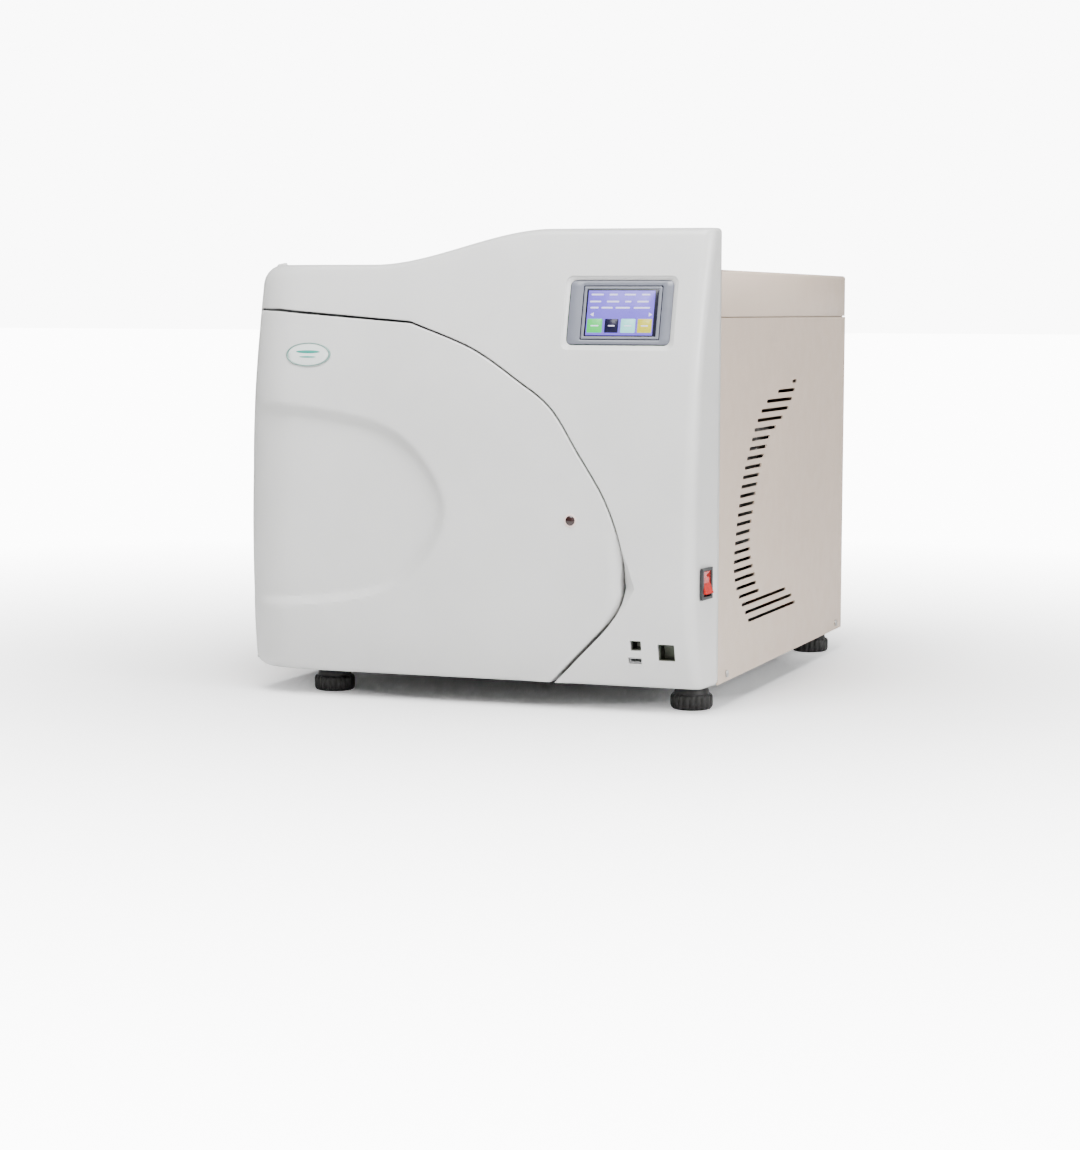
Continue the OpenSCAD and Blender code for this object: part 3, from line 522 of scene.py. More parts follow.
MATERIALS = {
    "fascia_plastic": plastic("fascia_plastic", (0.60, 0.60, 0.59), 0.36, coat=0.12),
    "liner_plastic": plastic("liner_plastic", (0.55, 0.56, 0.57), 0.5, grain=0.08, grain_scale=900.0),
    "lid_plastic": plastic("lid_plastic", (0.52, 0.53, 0.53), 0.42, grain=0.05),
    "painted_panel": painted("painted_panel", (0.56, 0.455, 0.37)),
    "galvanised_steel": metal("galvanised_steel", (0.56, 0.57, 0.58), 0.42, (1, 1, 1), 60.0, 0.1),
    "stainless_steel": metal("stainless_steel", (0.60, 0.60, 0.59), 0.32, (1, 40, 1), 60.0, 0.03),
    "tray_steel": metal("tray_steel", (0.66, 0.66, 0.65), 0.2, (40, 1, 1), 30.0),
    "hinge_steel": cast("hinge_steel", (0.28, 0.29, 0.31), 0.42),
    "screw_steel": metal("screw_steel", (0.5, 0.5, 0.5), 0.3, (1, 1, 1), 300.0, 0.1),
    "socket_steel": metal("socket_steel", (0.13, 0.14, 0.115), 0.5, (1, 1, 1), 200.0, 0.08),
    "silver_plastic": plastic("silver_plastic", (0.155, 0.165, 0.20), 0.4, grain=0.05, grain_scale=1800.0,
                              mottle=0.05),
    "black_plastic": plastic("black_plastic", (0.02, 0.021, 0.023), 0.42, grain=0.1, grain_scale=1400.0, mottle=0.2),
    "circuit_board": circuit("circuit_board"),
    "heater_brass": metal("heater_brass", (0.55, 0.40, 0.20), 0.35, (1, 30, 1), 40.0),
    "brass_fittings": metal("brass_fittings", (0.62, 0.46, 0.2), 0.3, (1, 1, 1), 90.0, 0.08),
    "copper_pipe": copper("copper_pipe"),
    "cast_aluminium": cast("cast_aluminium", (0.5, 0.5, 0.5), 0.5),
    "insulation": woven("insulation", (0.72, 0.68, 0.55)),
    "tank_plastic": plastic("tank_plastic", (0.72, 0.76, 0.78), 0.45, grain=0.08, grain_scale=500.0),
    "silicone": rubber("silicone", (0.55, 0.16, 0.10), 0.5),
    "foot_rubber": rubber("foot_rubber", (0.013, 0.013, 0.0125), 0.5),
    "badge_plastic": plastic("badge_plastic", (0.66, 0.70, 0.68), 0.3, coat=0.4),
    "indicator_red": lamp_red("indicator_red", (0.022, 0.004, 0.003), 0.0),
    "rocker_red": lamp_red("rocker_red", (0.58, 0.012, 0.004), 0.0),
    "badge_rim": plastic("badge_rim", (0.16, 0.27, 0.24), 0.3, coat=0.3),
    "badge_teal": plastic("badge_teal", (0.03, 0.27, 0.22), 0.3, coat=0.3),
    "indicator_rim": plastic("indicator_rim", (0.72, 0.58, 0.54), 0.35),
    "display_border": glass("display_border", (0.012, 0.012, 0.05), 0.0),
    "display_glass": glass("display_glass", (0.015, 0.015, 0.05), 0.0),
    "display_field": glass("display_field", (0.24, 0.17, 0.95), 1.0),
    "display_marks": glass("display_marks", (0.80, 0.78, 1.0), 1.6),
    "key_green": glass("key_green", (0.06, 0.85, 0.16), 0.9),
    "key_navy": glass("key_navy", (0.012, 0.010, 0.07), 0.3),
    "key_cyan": glass("key_cyan", (0.38, 0.95, 0.90), 1.2),
    "key_yellow": glass("key_yellow", (0.80, 0.74, 0.06), 1.0),
}


# ---- The moulded front: fascia and door ----
RING_STEPS = 5
EDGE_R = 1.4
LOW_EDGE_R = 5.0
LIP_R = 0.9


def side_radius(kind, point):
    """The rounding along one side of an outline; under the scoop the door's edge is rounder."""
    if kind == "top":
        return float(top_radius(point[0]))
    if kind == "bottom":
        return float(bottom_radius(point[0]))
    if kind == "door_edge":
        return EDGE_R + (LOW_EDGE_R - EDGE_R) * float(smooth((90 - point[1]) / 22) * smooth((point[1] - 1) / 16))
    return {"rim": 0.0, "edge": EDGE_R, "lip": LIP_R}[kind]


class Outline:
    """A closed outline in the unrolled plane, each side with its kind."""

    def __init__(self):
        self.points = []
        self.kinds = []

    def run(self, kind, points, spacing=4.0):
        new = sample(points, spacing)
        self.points += new
        self.kinds += [kind] * len(new)

    def rings(self):
        points = np.array(self.points)
        radius = np.array([side_radius(k, p) for k, p in zip(self.kinds, points)])
        cut = np.array([r if k in ("edge", "door_edge", "lip") else 0.0 for k, r in zip(self.kinds, radius)])
        cut = np.maximum(cut, np.roll(cut, 1))
        for step in range(RING_STEPS + 1):
            angle = QUARTER * step / RING_STEPS
            yield inset(points, radius * (1 - math.cos(angle))), cut * (1 - math.sin(angle))


def grid(loop, holes, columns, rows, clear):
    """Grid points well inside the loop and outside the holes."""
    u, z = np.meshgrid(columns, rows)
    points = np.stack([u.ravel(), z.ravel()], 1)
    keep = inside(points, loop) & (distance_to(points, closed(loop)) > clear)
    for hole in holes:
        keep &= ~inside(points, hole) & (distance_to(points, closed(hole)) > clear)
    return points[keep]


def shell(builder, outline, walls, holes, dent, columns, rows, lines=()):
    """One moulded skin: rounded edges, the walls behind them, hole rims and the face between."""
    previous = None
    for ring, cut in outline.rings():
        ids = builder.add(surface(ring[:, 0], ring[:, 1], dent(ring) + cut))
        if previous is None:
            kinds = outline.kinds
            front = np.array([builder.points[i] for i in ids])
            for i in range(len(ids)):
                target = walls.get(kinds[i])
                if target is not None:
                    j = (i + 1) % len(ids)
                    a, b = front[i], front[j]
                    back = builder.add([(a[0], max(a[1], target), a[2]), (b[0], max(b[1], target), b[2])])
                    builder.faces.append((back[0], back[1], ids[j], ids[i]))
        else:
            builder.strip(previous, ids)
        previous = ids
    face_loop = ring
    face_holes = []
    for loop, radius, depth, shrink in holes:
        face_holes.append(hole_rim(builder, np.array(loop), radius, depth, shrink, dent))
    extra = grid(face_loop, face_holes, columns, rows, 2.0)
    for line in lines:
        line = np.array(sample(line, 3.0))
        line = line[inside(line, face_loop) & (distance_to(line, closed(face_loop)) > 0.8)]
        extra = np.vstack([extra[distance_to(extra, line) > 1.6], line])
    builder.fill(face_loop, face_holes, extra, lambda p: surface(p[:, 0], p[:, 1], dent(p)))


def hole_rim(builder, loop, radius, depth, shrink, dent):
    """Rounded rim and inner wall of a hole; returns the loop that the face starts from."""
    loop = loop[::-1]
    middle = loop.mean(0)
    steps = 3
    previous = None
    for step in range(steps + 1):
        angle = QUARTER * step / steps
        ring = inset(loop, np.full(len(loop), radius * (1 - math.cos(angle))))
        ids = builder.add(surface(ring[:, 0], ring[:, 1], dent(ring) + radius * (1 - math.sin(angle))))
        if previous is None:
            deep = middle + (loop - middle) * np.array(shrink)
            back = builder.add(surface(deep[:, 0], deep[:, 1], dent(loop) + depth))
            builder.strip(back, ids)
        else:
            builder.strip(previous, ids)
        previous = ids
    return ring[::-1]


def rectangle(u0, u1, z0, z1, radius, spacing=3.0):
    """A rectangle with round corners, anticlockwise, closed."""
    points = []
    corners = ((u1, z0, -90), (u1, z1, 0), (u0, z1, 90), (u0, z0, 180))
    for u, z, start in corners:
        cu = u - radius if u == u1 else u + radius
        cz = z - radius if z == z1 else z + radius
        for k in range(5):
            angle = math.radians(start + 22.5 * k)
            points.append((cu + radius * math.cos(angle), cz + radius * math.sin(angle)))
    return sample(points + points[:1], spacing)


def scoop_dent(points):
    """The finger scoop falls away from its outer crease towards the door's edge."""
    crease = np.array(SCOOP_EDGE, float)
    reach = np.interp(points[:, 1], crease[:, 1], crease[:, 0], left=-999, right=-999)
    return 1.1 * np.clip(reach - points[:, 0], 0, 14)


RECESS_LOOP = catmull(RECESS_EDGE, 10)


def door_dent(points):
    """The shallow moulded recess in the door, and the rolled edge beside the finger scoop."""
    flat = np.stack([points[:, 0], points[:, 1]], 1)
    depth = distance_to(flat, RECESS_LOOP) * np.where(inside(flat, RECESS_LOOP), 1, -1)
    recess = 7.5 * smooth((depth + 1) / 11) * smooth((points[:, 0] + 256) / 70)
    edge = door_path(0)
    reach = np.interp(points[:, 1], edge[:, 1], edge[:, 0])
    fade = smooth((points[:, 1] - 52) / 30) * smooth((158 - points[:, 1]) / 30)
    roll = 5.5 * np.clip(1 - (reach - points[:, 0]) / 13, 0, 1) ** 2 * fade
    return recess + roll


COLUMNS_RIGHT = [*np.linspace(U_BEND, U_WALL, 9), *np.arange(U_WALL + 6, U_MAX - 3, 7)]


def display_hole():
    lo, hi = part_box("display_panel")
    x0, x1 = lo.x / MM, hi.x / MM
    z0, z1 = (lo.z - BASE) / MM, (hi.z - BASE) / MM
    return rectangle(x0 - 4, x1 + 4, z0 - 4, z1 + 4, 6)


def port_hole(node, grow=0.25):
    lo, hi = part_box(node)
    return rectangle(lo.x / MM - grow, hi.x / MM + grow, (lo.z - BASE) / MM - grow, (hi.z - BASE) / MM + grow, 0.8, 2.5)


def switch_hole():
    """The switch's cut-out in the right wall, carried over to the unrolled plane."""
    lo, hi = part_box("power_rocker")
    middle = (lo.y + hi.y) / 2 / MM
    z = ((lo.z + hi.z) / 2 - BASE) / MM
    length = front_depth(z) - RIGHT_R
    per_mm = (U_MAX - U_WALL) / length
    u = U_WALL + (1 - (REAR - middle) / length) * (U_MAX - U_WALL)
    return rectangle(u - 12 * per_mm, u + 12 * per_mm, z - 13.5, z + 13.5, 1.5)


def make_fascia():
    path, strip = hinge_side(DOOR_GAP, STRIP_FRONT, 0.0)
    top = [(u, float(top_height(u))) for u in [U_MAX, U_WALL, U_BEND, *np.arange(80, RISE[0] - 8, -4), U_CORNER + 20,
                                               U_CORNER, U_LEFT, U_MIN]]
    outline = Outline()
    outline.run("bottom", [path[0], (U_BEND, 0), (U_WALL, 0), (U_MAX, 0)])
    outline.run("rim", [(U_MAX, 0), (U_MAX, TOP)], 6)
    outline.run("top", top)
    outline.run("rim", [(U_MIN, SHOULDER), (U_MIN, SHOULDER - 22)], 22)
    outline.run("rim", [(U_MIN, SHOULDER - 22), (U_MIN, 16)], 6)
    outline.run("rim", [(U_MIN, 16), (U_MIN, 0)], 16)
    outline.run("bottom", [(U_MIN, 0), strip[-1]])
    outline.run("lip", strip[::-1], 6)
    outline.run("edge", path[::-1], 3)
    holes = [(display_hole(), 1.2, 3.2, (0.934, 0.90)), (port_hole("usb_port"), 0.4, 4, (1, 1)),
             (port_hole("card_slot"), 0.4, 4, (1, 1)), (port_hole("network_port"), 0.4, 4, (1, 1)),
             (switch_hole(), 0.5, 3, (1, 1))]
    builder = Builder()
    shell(builder, outline, {"top": REAR, "bottom": REAR, "edge": BAY_FRONT}, holes, scoop_dent,
          [*np.arange(U_MIN + 3, U_BEND - 2, 5), *COLUMNS_RIGHT], np.arange(2.5, TOP, 5), [SCOOP_EDGE])
    rear_wall(builder)
    piece = builder.build("fascia_shell", MATERIALS["fascia_plastic"])
    add_modifier(piece, "SOLIDIFY", thickness=(WALL - 0.3) * MM, offset=-1)
    add_modifier(piece, "WEIGHTED_NORMAL", keep_sharp=True)
    return place_piece(piece, "chassis", "fascia_plastic", "front_fascia")


# Distance that keeps the rear wall's edge from being welded to the shell's rim
APART = 0.2


def rear_wall(builder):
    """The part of the fascia that shows above the cabinet from behind."""
    xs = [top_radius(U_MIN) + LEAN - HALF_W, *np.arange(-205, HALF_W - 8, 5), HALF_W - 4.0]
    low = builder.add([(x, REAR - APART, CASE_TOP + 1) for x in xs])
    high = builder.add([(x, REAR - APART, float(top_height(x)) - APART) for x in xs])
    builder.strip(high, low, around=False)


def make_bay():
    """The flat wall behind the door, with its openings for the chamber, the hinges and the lock."""
    path, _ = hinge_side(DOOR_GAP + 0.8, STRIP_FRONT, 0.8)
    left = 1.3 - HALF_W
    high = path[-1][1]
    corner = [(left + 13 * (1 - math.sin(a)), 0.8 + 13 * (1 - math.cos(a))) for a in np.linspace(QUARTER, 0, 6)]
    side = [(left + float(lean(z)), float(z)) for z in np.linspace(high, 20, 40)]
    loop = [p for p in path if p[0] > U_CORNER] + side + corner
    loop = np.array(sample(loop + loop[:1], 8))
    circle_lo, circle_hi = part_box("chamber_flange")
    cx, cz = (circle_lo.x + circle_hi.x) / 2 / MM, ((circle_lo.z + circle_hi.z) / 2 - BASE) / MM
    r = (circle_hi.x - circle_lo.x) / 2 / MM + 2
    holes = [np.array([(cx + r * math.cos(a), cz + r * math.sin(a)) for a in np.arange(0, 4 * QUARTER, math.radians(5))])]
    for low_z in (109, 239):
        holes.append(np.array(rectangle(-206.5, -194, low_z, low_z + 52, 1.5)))
    holes.append(np.array(rectangle(107, 122, 137, 173, 2)))
    builder = Builder()
    plate(builder, loop, holes, BAY_FRONT, BAY_FRONT + WALL)
    piece = builder.build("door_bay", MATERIALS["liner_plastic"])
    return place_piece(piece, "chassis", "liner_plastic")


def plate(builder, loop, holes, y0, y1):
    """A flat plate between two depths."""
    none = np.zeros((0, 2))
    for y in (y0, y1):
        first = len(builder.faces)
        builder.fill(loop, holes, none, lambda p: np.stack([p[:, 0], np.full(len(p), y), p[:, 1]], 1))
        if y == y1:
            builder.faces[first:] = [f[::-1] for f in builder.faces[first:]]
    for ring in [loop, *[h[::-1] for h in holes]]:
        front = builder.add([(x, y0, z) for x, z in ring])
        back = builder.add([(x, y1, z) for x, z in ring])
        builder.strip(back, front)


def make_door():
    path, back = hinge_side(0.0, DOOR_BACK, DOOR_BOTTOM)
    outline = Outline()
    outline.run("door_edge", path, 3)
    outline.run("lip", back, 5)
    outline.run("bottom", [back[-1], path[0]])
    builder = Builder()
    recess_rows = np.arange(3, 360, 3.5)
    shell(builder, outline, {"door_edge": DOOR_BACK, "bottom": DOOR_BACK}, [], door_dent,
          np.arange(U_MIN + 4, 170, 4), recess_rows)
    piece = builder.build("door_shell", MATERIALS["fascia_plastic"])
    add_modifier(piece, "SOLIDIFY", thickness=(WALL - 0.3) * MM, offset=-1)
    add_modifier(piece, "WEIGHTED_NORMAL", keep_sharp=True)
    return place_piece(piece, "door", "fascia_plastic", "door_cover")


# Cut-outs of the door's inner panel: the two hinge notches (low, high) with their reach, and the lock's slot
HINGE_NOTCHES = [(108, 164), (238, 294)]
NOTCH_X = -194
LOCK_SLOT = (109, 118, 138, 172)


def make_liner():
    """The flat inner panel of the door, cut out for the plate, the two hinges and the lock."""
    lo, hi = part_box("door_liner")
    y0, y1 = lo.y / MM, hi.y / MM
    path, back = hinge_side(-3.0, y0 - 0.5, 4.0)
    outer = np.array(path + back)
    xs = surface(outer[:, 0], outer[:, 1])[:, 0]
    xs[len(path):] += 3.0
    edge = list(zip(xs.tolist(), outer[:, 1].tolist()))
    front, side = edge[:len(path)], edge[len(path):]
    for low_z, high_z in reversed(HINGE_NOTCHES):
        above = [p for p in side if p[1] > high_z]
        below = [p for p in side if p[1] < low_z]
        x = above[-1][0]
        side = above + [(x, high_z), (NOTCH_X, high_z), (NOTCH_X, low_z), (x, low_z)] + below
    loop = np.array(sample(front + side + front[:1], 8))
    plate_lo, plate_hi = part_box("door_plate")
    middle = (plate_lo + plate_hi) / 2 / MM
    r = (plate_hi.x - plate_lo.x) / 2 / MM + 1.5
    angles = np.radians(np.arange(0, 360, 4))
    round_hole = np.stack([middle.x + r * np.cos(angles), middle.z - BASE / MM + r * np.sin(angles)], 1)
    builder = Builder()
    plate(builder, loop, [round_hole, np.array(rectangle(*LOCK_SLOT, 1.5))], y0, y1)
    piece = builder.build("door_inner_panel", MATERIALS["liner_plastic"])
    place_piece(piece, "door", "liner_plastic", "door_liner")


# ---- Pieces set into or onto the moulded front ----
def raised(name, material, middle, size, layers, count=64):
    """An oval or round piece that follows the front: layers of (share of the size, height above it)."""
    builder = Builder()
    previous = None
    angles = 4 * QUARTER * np.arange(count) / count
    for share, height in layers:
        u = middle[0] + size[0] * share * np.cos(angles)
        z = middle[1] + size[1] * share * np.sin(angles)
        ids = builder.add(surface(u, z, -height))
        if previous is not None:
            builder.strip(previous, ids)
        previous = ids
    builder.faces.append(tuple(previous))
    return builder.build(name, material, sharp=50)


def box_middle(node):
    lo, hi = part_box(node)
    return (lo.x + hi.x) / 2 / MM, (lo.y + hi.y) / 2 / MM, ((lo.z + hi.z) / 2 - BASE) / MM


def make_badge():
    """A plain oval badge: a metal rim, a pale field and one teal bar, without lettering."""
    x, _, z = box_middle("door_badge")
    rim = raised("badge_rim", MATERIALS["badge_rim"], (x, z), (24, 11.5),
                 [(1.0, 0), (1.0, 0.9), (0.98, 1.3), (0.95, 1.4), (0.92, 1.2), (0.91, 0.7), (0.9, 0.5)])
    place_piece(rim, "door", "badge_plastic", "door_badge")
    field = raised("badge_field", MATERIALS["badge_plastic"], (x, z), (24, 11.5),
                   [(0.91, 0.4), (0.9, 0.8), (0.7, 1.15), (0.4, 1.35), (0.1, 1.4)])
    place_piece(field, "door", "badge_plastic")
    for index, (dz, w, h) in enumerate(((2.6, 13, 1.5), (-2.4, 9, 0.8))):
        bar = raised("badge_bar_" + str(index), MATERIALS["badge_teal"], (x, z + dz), (w, h),
                     [(1.0, 1.0), (0.98, 1.45), (0.8, 1.55), (0.2, 1.6)], 40)
        place_piece(bar, "door", "badge_plastic")


def make_indicator():
    x, _, z = box_middle("door_indicator")
    rim = raised("indicator_rim", MATERIALS["indicator_rim"], (x, z), (6.4, 6.4),
                 [(1.0, 0), (0.97, 0.5), (0.9, 0.8), (0.76, 0.8), (0.72, 0.4), (0.72, -1)], 40)
    place_piece(rim, "door", "indicator_red", "door_indicator")
    lens = raised("indicator_lens", MATERIALS["indicator_red"], (x, z), (4.75, 4.75),
                  [(1.0, -1), (1.0, 0.4), (0.9, 0.9), (0.7, 1.35), (0.4, 1.65), (0.1, 1.75)], 40)
    place_piece(lens, "door", "indicator_red")


DISPLAY_TILT = math.radians(14.9)
DISPLAY_HALF = 31.0
BEZEL_FRONT = 2.5
BEZEL_BACK = 5.0


def display_place():
    """Maps the display's own (across, inward, up) millimetres to the case frame."""
    lo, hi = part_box("display_panel")
    sine, cosine = math.sin(DISPLAY_TILT), math.cos(DISPLAY_TILT)
    x = (lo.x + hi.x) / 2 / MM
    y = lo.y / MM - BEZEL_FRONT * cosine + DISPLAY_HALF * sine
    z = (lo.z - BASE) / MM + BEZEL_BACK * sine + DISPLAY_HALF * cosine

    def place(points):
        return [(x + a, y + b * cosine + c * sine, z - b * sine + c * cosine) for a, b, c in points]
    return place


def framed(builder, place, outer, inner, front, back, bevel=0.35):
    """A flat frame or plate with softened front edges, drawn in the display's own plane."""
    loops = [(outer, 1)] + ([(inner, -1)] if inner is not None else [])
    edge = []
    for loop, way in loops:
        ring = np.array(loop)[::way]
        soft = inset(ring, np.full(len(ring), bevel))
        rows = [builder.add(place([(p[0], depth, p[1]) for p in line]))
                for line, depth in ((ring, back), (ring, front + bevel), (soft, front))]
        builder.strip(rows[0], rows[1])
        builder.strip(rows[1], rows[2])
        edge.append(soft[::way])
    none = np.zeros((0, 2))
    builder.fill(edge[0], edge[1:], none, lambda p: place([(a, front, b) for a, b in p]))


def make_display():
    place = display_place()
    bezel = Builder()
    framed(bezel, place, rectangle(-51, 51, -31, 31, 3.5), rectangle(-38.4, 40.6, -26.8, 26.2, 1.2), 2.5, 5)
    framed(bezel, place, rectangle(-37.5, 39.7, -25.9, 25.3, 1.0), rectangle(-34.6, 36.6, -23.4, 22.9, 0.4), 2.6, 5)
    piece = bezel.build("display_bezel", MATERIALS["silver_plastic"], sharp=50)
    place_piece(piece, "chassis", "silver_plastic", "display_panel")
    layers = [("display_border", rectangle(-34.8, 36.8, -23.6, 23.1, 0.3), 3.0),
              ("display_field", rectangle(-33, 33.1, -22.2, 21.3, 0.2), 2.95)]
    keys = [("key_green", -32, -17), ("key_navy", -14.5, -1), ("key_cyan", 1.5, 15.8), ("key_yellow", 18, 32)]
    layers += [(name, rectangle(a, b, -19.7, -6.2, 0.8), 2.9) for name, a, b in keys]
    for name, loop, front in layers:
        part = Builder()
        framed(part, place, loop, None, front, 3.2, 0.03)
        glass = part.build(name, MATERIALS[name], sharp=50)
        place_piece(glass, "chassis", "display_glass")
    marks = Builder()
    for up, words in ((17.4, (-30, -18, -12, -4, 3, 14, 20, 28)), (10.6, (-31, -20, -14, -2, 4, 10, 16, 27)),
                      (4.6, (-30, -22, -19, -8, -5, 9, 13, 29))):
        for a, b in zip(words[::2], words[1::2]):
            framed(marks, place, rectangle(a, b, up - 0.75, up + 0.75, 0.5, 1.0), None, 2.9, 3.0, 0.03)
    for x, way in ((-28, 1), (30, -1)):
        arrow = [(x - 1.8 * way, -2), (x + 1.6 * way, -4), (x + 1.6 * way, 0)]
        loop = sample((arrow if way == 1 else arrow[::-1]) + [arrow[0] if way == 1 else arrow[-1]], 1.0)
        framed(marks, place, loop, None, 2.9, 3.0, 0.03)
    for _, a, b in keys:
        framed(marks, place, rectangle(a + 3.5, b - 3.5, -13.5, -12.4, 0.4, 1.0), None, 2.85, 3.0, 0.03)
    piece = marks.build("display_marks", MATERIALS["display_marks"], sharp=50)
    place_piece(piece, "chassis", "display_glass")


# ---- Levelling feet and the folded top cover ----
FOOT_RIBS = 20


def foot_profile(height, radius):
    """(radius, height, rib depth) up the outside of a foot: a ribbed grip, a domed hub and a threaded stud."""
    grip = height * 0.62
    rows = [(0, 0, 0), (radius - 4, 0, 0), (radius - 2.2, 0.5, 0.2), (radius - 0.7, 1.9, 0.7), (radius, 4, 1),
            (radius, grip - 3.2, 1), (radius - 0.6, grip - 1.4, 0.7), (radius - 1.9, grip - 0.3, 0.3),
            (radius - 3.4, grip, 0)]
    hub = [(radius * (0.52 + 0.31 * math.cos(a)), grip + (height - grip - 0.3) * math.sin(a), 0)
           for a in np.linspace(0.12, QUARTER, 7)]
    thread = []
    for turn in range(11):
        low = height - 0.3 + turn * 1.25
        thread += [(3.6, low, 0), (4.0, low + 0.62, 0)]
    return rows + hub + thread + [(0, thread[-1][1] + 0.3, 0)]


def make_foot(node):
    lo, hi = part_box(node)
    radius = (hi.x - lo.x) / 2 / MM
    cx, cy = (lo.x + hi.x) / 2 / MM, (lo.y + hi.y) / 2 / MM
    count = FOOT_RIBS * 6
    angles = 4 * QUARTER * np.arange(count) / count
    wave = 0.5 - 0.5 * np.cos(FOOT_RIBS * angles)
    builder = Builder()
    previous = None
    for r, z, rib in foot_profile(BASE / MM, radius):
        reach = r - 1.5 * rib * wave ** 2
        ids = builder.add([(cx + q * math.cos(a), cy + q * math.sin(a), z - BASE / MM) for q, a in zip(reach, angles)])
        if previous is not None:
            builder.strip(previous, ids)
        previous = ids
    piece = builder.build(node + "_knob", MATERIALS["foot_rubber"], sharp=40)
    place_piece(piece, node, "foot_rubber", node)


def make_top_cover():
    """The folded sheet cover: top, leaning left side, right side and back, with rounded folds."""
    lo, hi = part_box("top_cover")
    sheet = folded_sheet("cover_sheet", lo, hi, 0.0, 0.0)
    place_piece(sheet, "chassis", "painted_panel", "top_cover")
    lip = folded_sheet("cover_lip", lo, hi, 2.2, 7.0)
    place_piece(lip, "chassis", "painted_panel")


def folded_sheet(name, lo, hi, inward, lower):
    """A sheet folded over the top, both sides and the back, with rounded folds."""
    bm = bmesh.new()
    left, right = lo.x + inward * MM, hi.x - inward * MM
    low_z, high_z = lo.z - lower * MM, hi.z - inward * MM
    corners = [(left, low_z), (right, low_z), (right, high_z), (left + LEAN * MM, high_z)]
    front = [bm.verts.new((x, lo.y, z)) for x, z in corners]
    back = [bm.verts.new((x, hi.y - inward * MM, z)) for x, z in corners]
    for a, b in ((1, 2), (2, 3), (3, 0)):
        bm.faces.new((front[a], back[a], back[b], front[b]))
    bm.faces.new((back[1], back[0], back[3], back[2]))
    bm.normal_update()
    folds = [e for e in bm.edges if len(e.link_faces) == 2]
    bmesh.ops.bevel(bm, geom=folds, offset=3.2 * MM, segments=5, profile=0.5, affect="EDGES")
    mesh = bpy.data.meshes.new(name)
    bm.to_mesh(mesh)
    bm.free()
    finish_mesh(mesh, 40, 0.01)
    piece = bpy.data.objects.new(name, mesh)
    bpy.context.scene.collection.objects.link(piece)
    mesh.materials.append(MATERIALS["painted_panel"])
    add_modifier(piece, "SOLIDIFY", thickness=1.2 * MM, offset=-1)
    return piece


# ---- Nodes that keep their CAD shape and get their finish ----
SLOT = {part["node"]: part["material_slot"] for part in frame["record"]["subparts"]}
REPLACED = ("front_fascia", "door_cover", "door_liner", "display_panel", "door_badge", "door_indicator",
            "top_cover", "foot_front_left", "foot_front_right", "foot_rear_left", "foot_rear_right")


def finish_node(name, material, bevel=0.35):
    piece = frame["nodes"][name]
    piece.data.materials.clear()
    piece.data.materials.append(MATERIALS[material])
    if bevel:
        add_modifier(piece, "WELD", merge_threshold=0.00001)
        add_modifier(piece, "BEVEL", width=bevel * MM, segments=2, limit_method="ANGLE",
                     angle_limit=math.radians(32), harden_normals=False)


def finish_nodes():
    for name in frame["nodes"]:
        if name not in REPLACED:
            finish_node(name, SLOT[name], NODE_BEVEL.get(name, 0.35))


NODE_BEVEL = {"pipework": 0.2, "fan_rotor": 0.2, "card_slot": 0.1, "usb_port": 0.1, "network_port": 0.1}


# ---- Stage, lights and camera ----
BACKDROP = 12.0


def make_floor():
    mesh = bpy.data.meshes.new("floor")
    half = 40.0
    mesh.from_pydata([(-half, -half, 0), (half, -half, 0), (half, half, 0), (-half, half, 0)], [], [(0, 1, 2, 3)])
    floor = bpy.data.objects.new("floor", mesh)
    bpy.context.scene.collection.objects.link(floor)
    n = Nodes("floor_paper")
    n.colour(n.mix(n.noise(3.0), (0.83, 0.83, 0.83), (0.86, 0.86, 0.86)))
    n.set(Roughness=0.9)
    distance = n.node("ShaderNodeVectorMath", operation="LENGTH")
    n.link(n.object, distance.inputs[0])
    sweep = n.ramp(distance.outputs["Value"], 0, 1, 0.25, 1.7)
    seen = n.node("ShaderNodeLightPath").outputs["Is Camera Ray"]
    share = n.node("ShaderNodeMath", operation="MULTIPLY")
    n.link(sweep, share.inputs[0])
    n.link(seen, share.inputs[1])
    white = n.node("ShaderNodeEmission", Strength=BACKDROP)
    blend = n.node("ShaderNodeMixShader")
    n.link(share.outputs["Value"], blend.inputs["Fac"])
    n.link(n.shader.outputs["BSDF"], blend.inputs[1])
    n.link(white.outputs["Emission"], blend.inputs[2])
    n.link(blend.outputs["Shader"], n.tree.nodes["Material Output"].inputs["Surface"])
    mesh.materials.append(n.material)


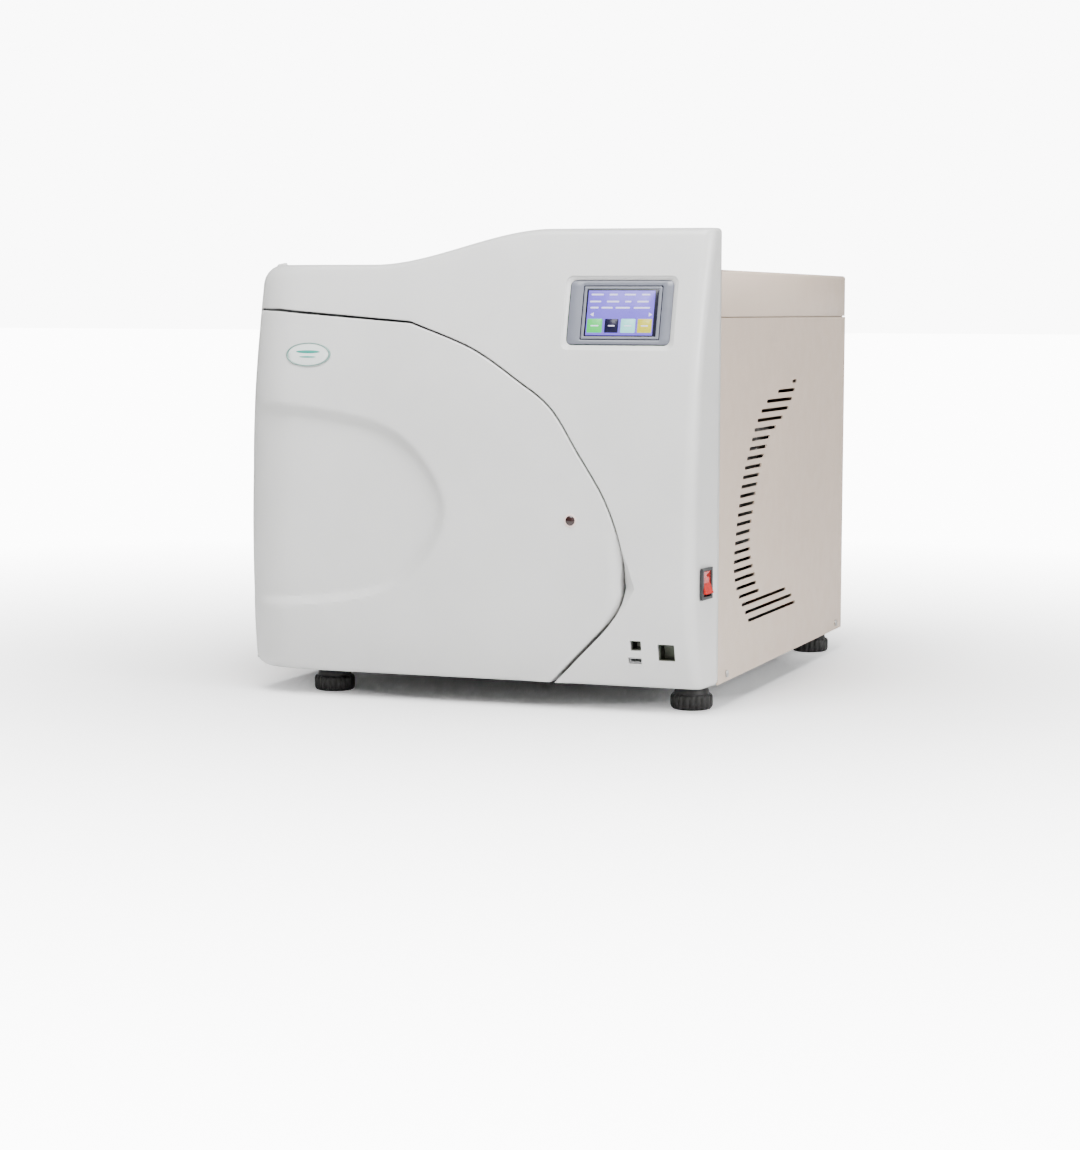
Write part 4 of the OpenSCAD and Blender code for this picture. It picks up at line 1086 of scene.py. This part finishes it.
def add_light(name, place, aim, size, power, colour=(1, 1, 1)):
    data = bpy.data.lights.new(name, "AREA")
    data.shape = "SQUARE"
    data.size = size
    data.energy = power
    data.color = colour
    light = bpy.data.objects.new(name, data)
    light.location = place
    light.rotation_euler = (Vector(aim) - Vector(place)).to_track_quat("-Z", "Y").to_euler()
    bpy.context.scene.collection.objects.link(light)


def make_lights():
    add_light("overhead", (0.1, -1.5, 3.0), (0, -0.2, 0.2), 1.8, 225)
    add_light("side", (3.4, -1.6, 1.5), (0.2, 0, 0.2), 1.3, 140)
    add_light("front", (0.8, -3.6, 1.2), (0, 0, 0.2), 1.6, 12)
    world = bpy.data.worlds.new("studio")
    bpy.context.scene.world = world
    world.use_nodes = True
    tree = world.node_tree
    background = tree.nodes["Background"]
    background.inputs["Color"].default_value = (1, 1, 1, 1)
    background.inputs["Strength"].default_value = 0.36
    backdrop = tree.nodes.new("ShaderNodeBackground")
    backdrop.inputs["Strength"].default_value = BACKDROP
    seen = tree.nodes.new("ShaderNodeLightPath")
    mix = tree.nodes.new("ShaderNodeMixShader")
    tree.links.new(seen.outputs["Is Camera Ray"], mix.inputs["Fac"])
    tree.links.new(background.outputs["Background"], mix.inputs[1])
    tree.links.new(backdrop.outputs["Background"], mix.inputs[2])
    tree.links.new(mix.outputs["Shader"], tree.nodes["World Output"].inputs["Surface"])


def make_camera():
    """The photograph's viewpoint: to the right of the front and a little above."""
    target = Vector((0.0393, -0.1768, BASE + 0.0945))
    azimuth, elevation, roll, distance = math.radians(19.53), math.radians(5.646), math.radians(0.189), 2.7
    away = Vector((math.sin(azimuth) * math.cos(elevation), -math.cos(azimuth) * math.cos(elevation),
                   math.sin(elevation)))
    data = bpy.data.cameras.new("camera")
    data.sensor_width = 36
    data.lens = 84.52
    camera = bpy.data.objects.new("camera", data)
    camera.location = target + away * distance
    turn = (-away).to_track_quat("-Z", "Y").to_matrix() @ Matrix.Rotation(roll, 3, "Z")
    camera.rotation_euler = turn.to_euler()
    bpy.context.scene.collection.objects.link(camera)
    bpy.context.scene.camera = camera


make_camera()
make_lights()
make_floor()
make_fascia()
make_bay()
make_door()
make_liner()
make_badge()
make_indicator()
make_display()
make_top_cover()
for foot in ("foot_front_left", "foot_front_right", "foot_rear_left", "foot_rear_right"):
    make_foot(foot)
finish_nodes()
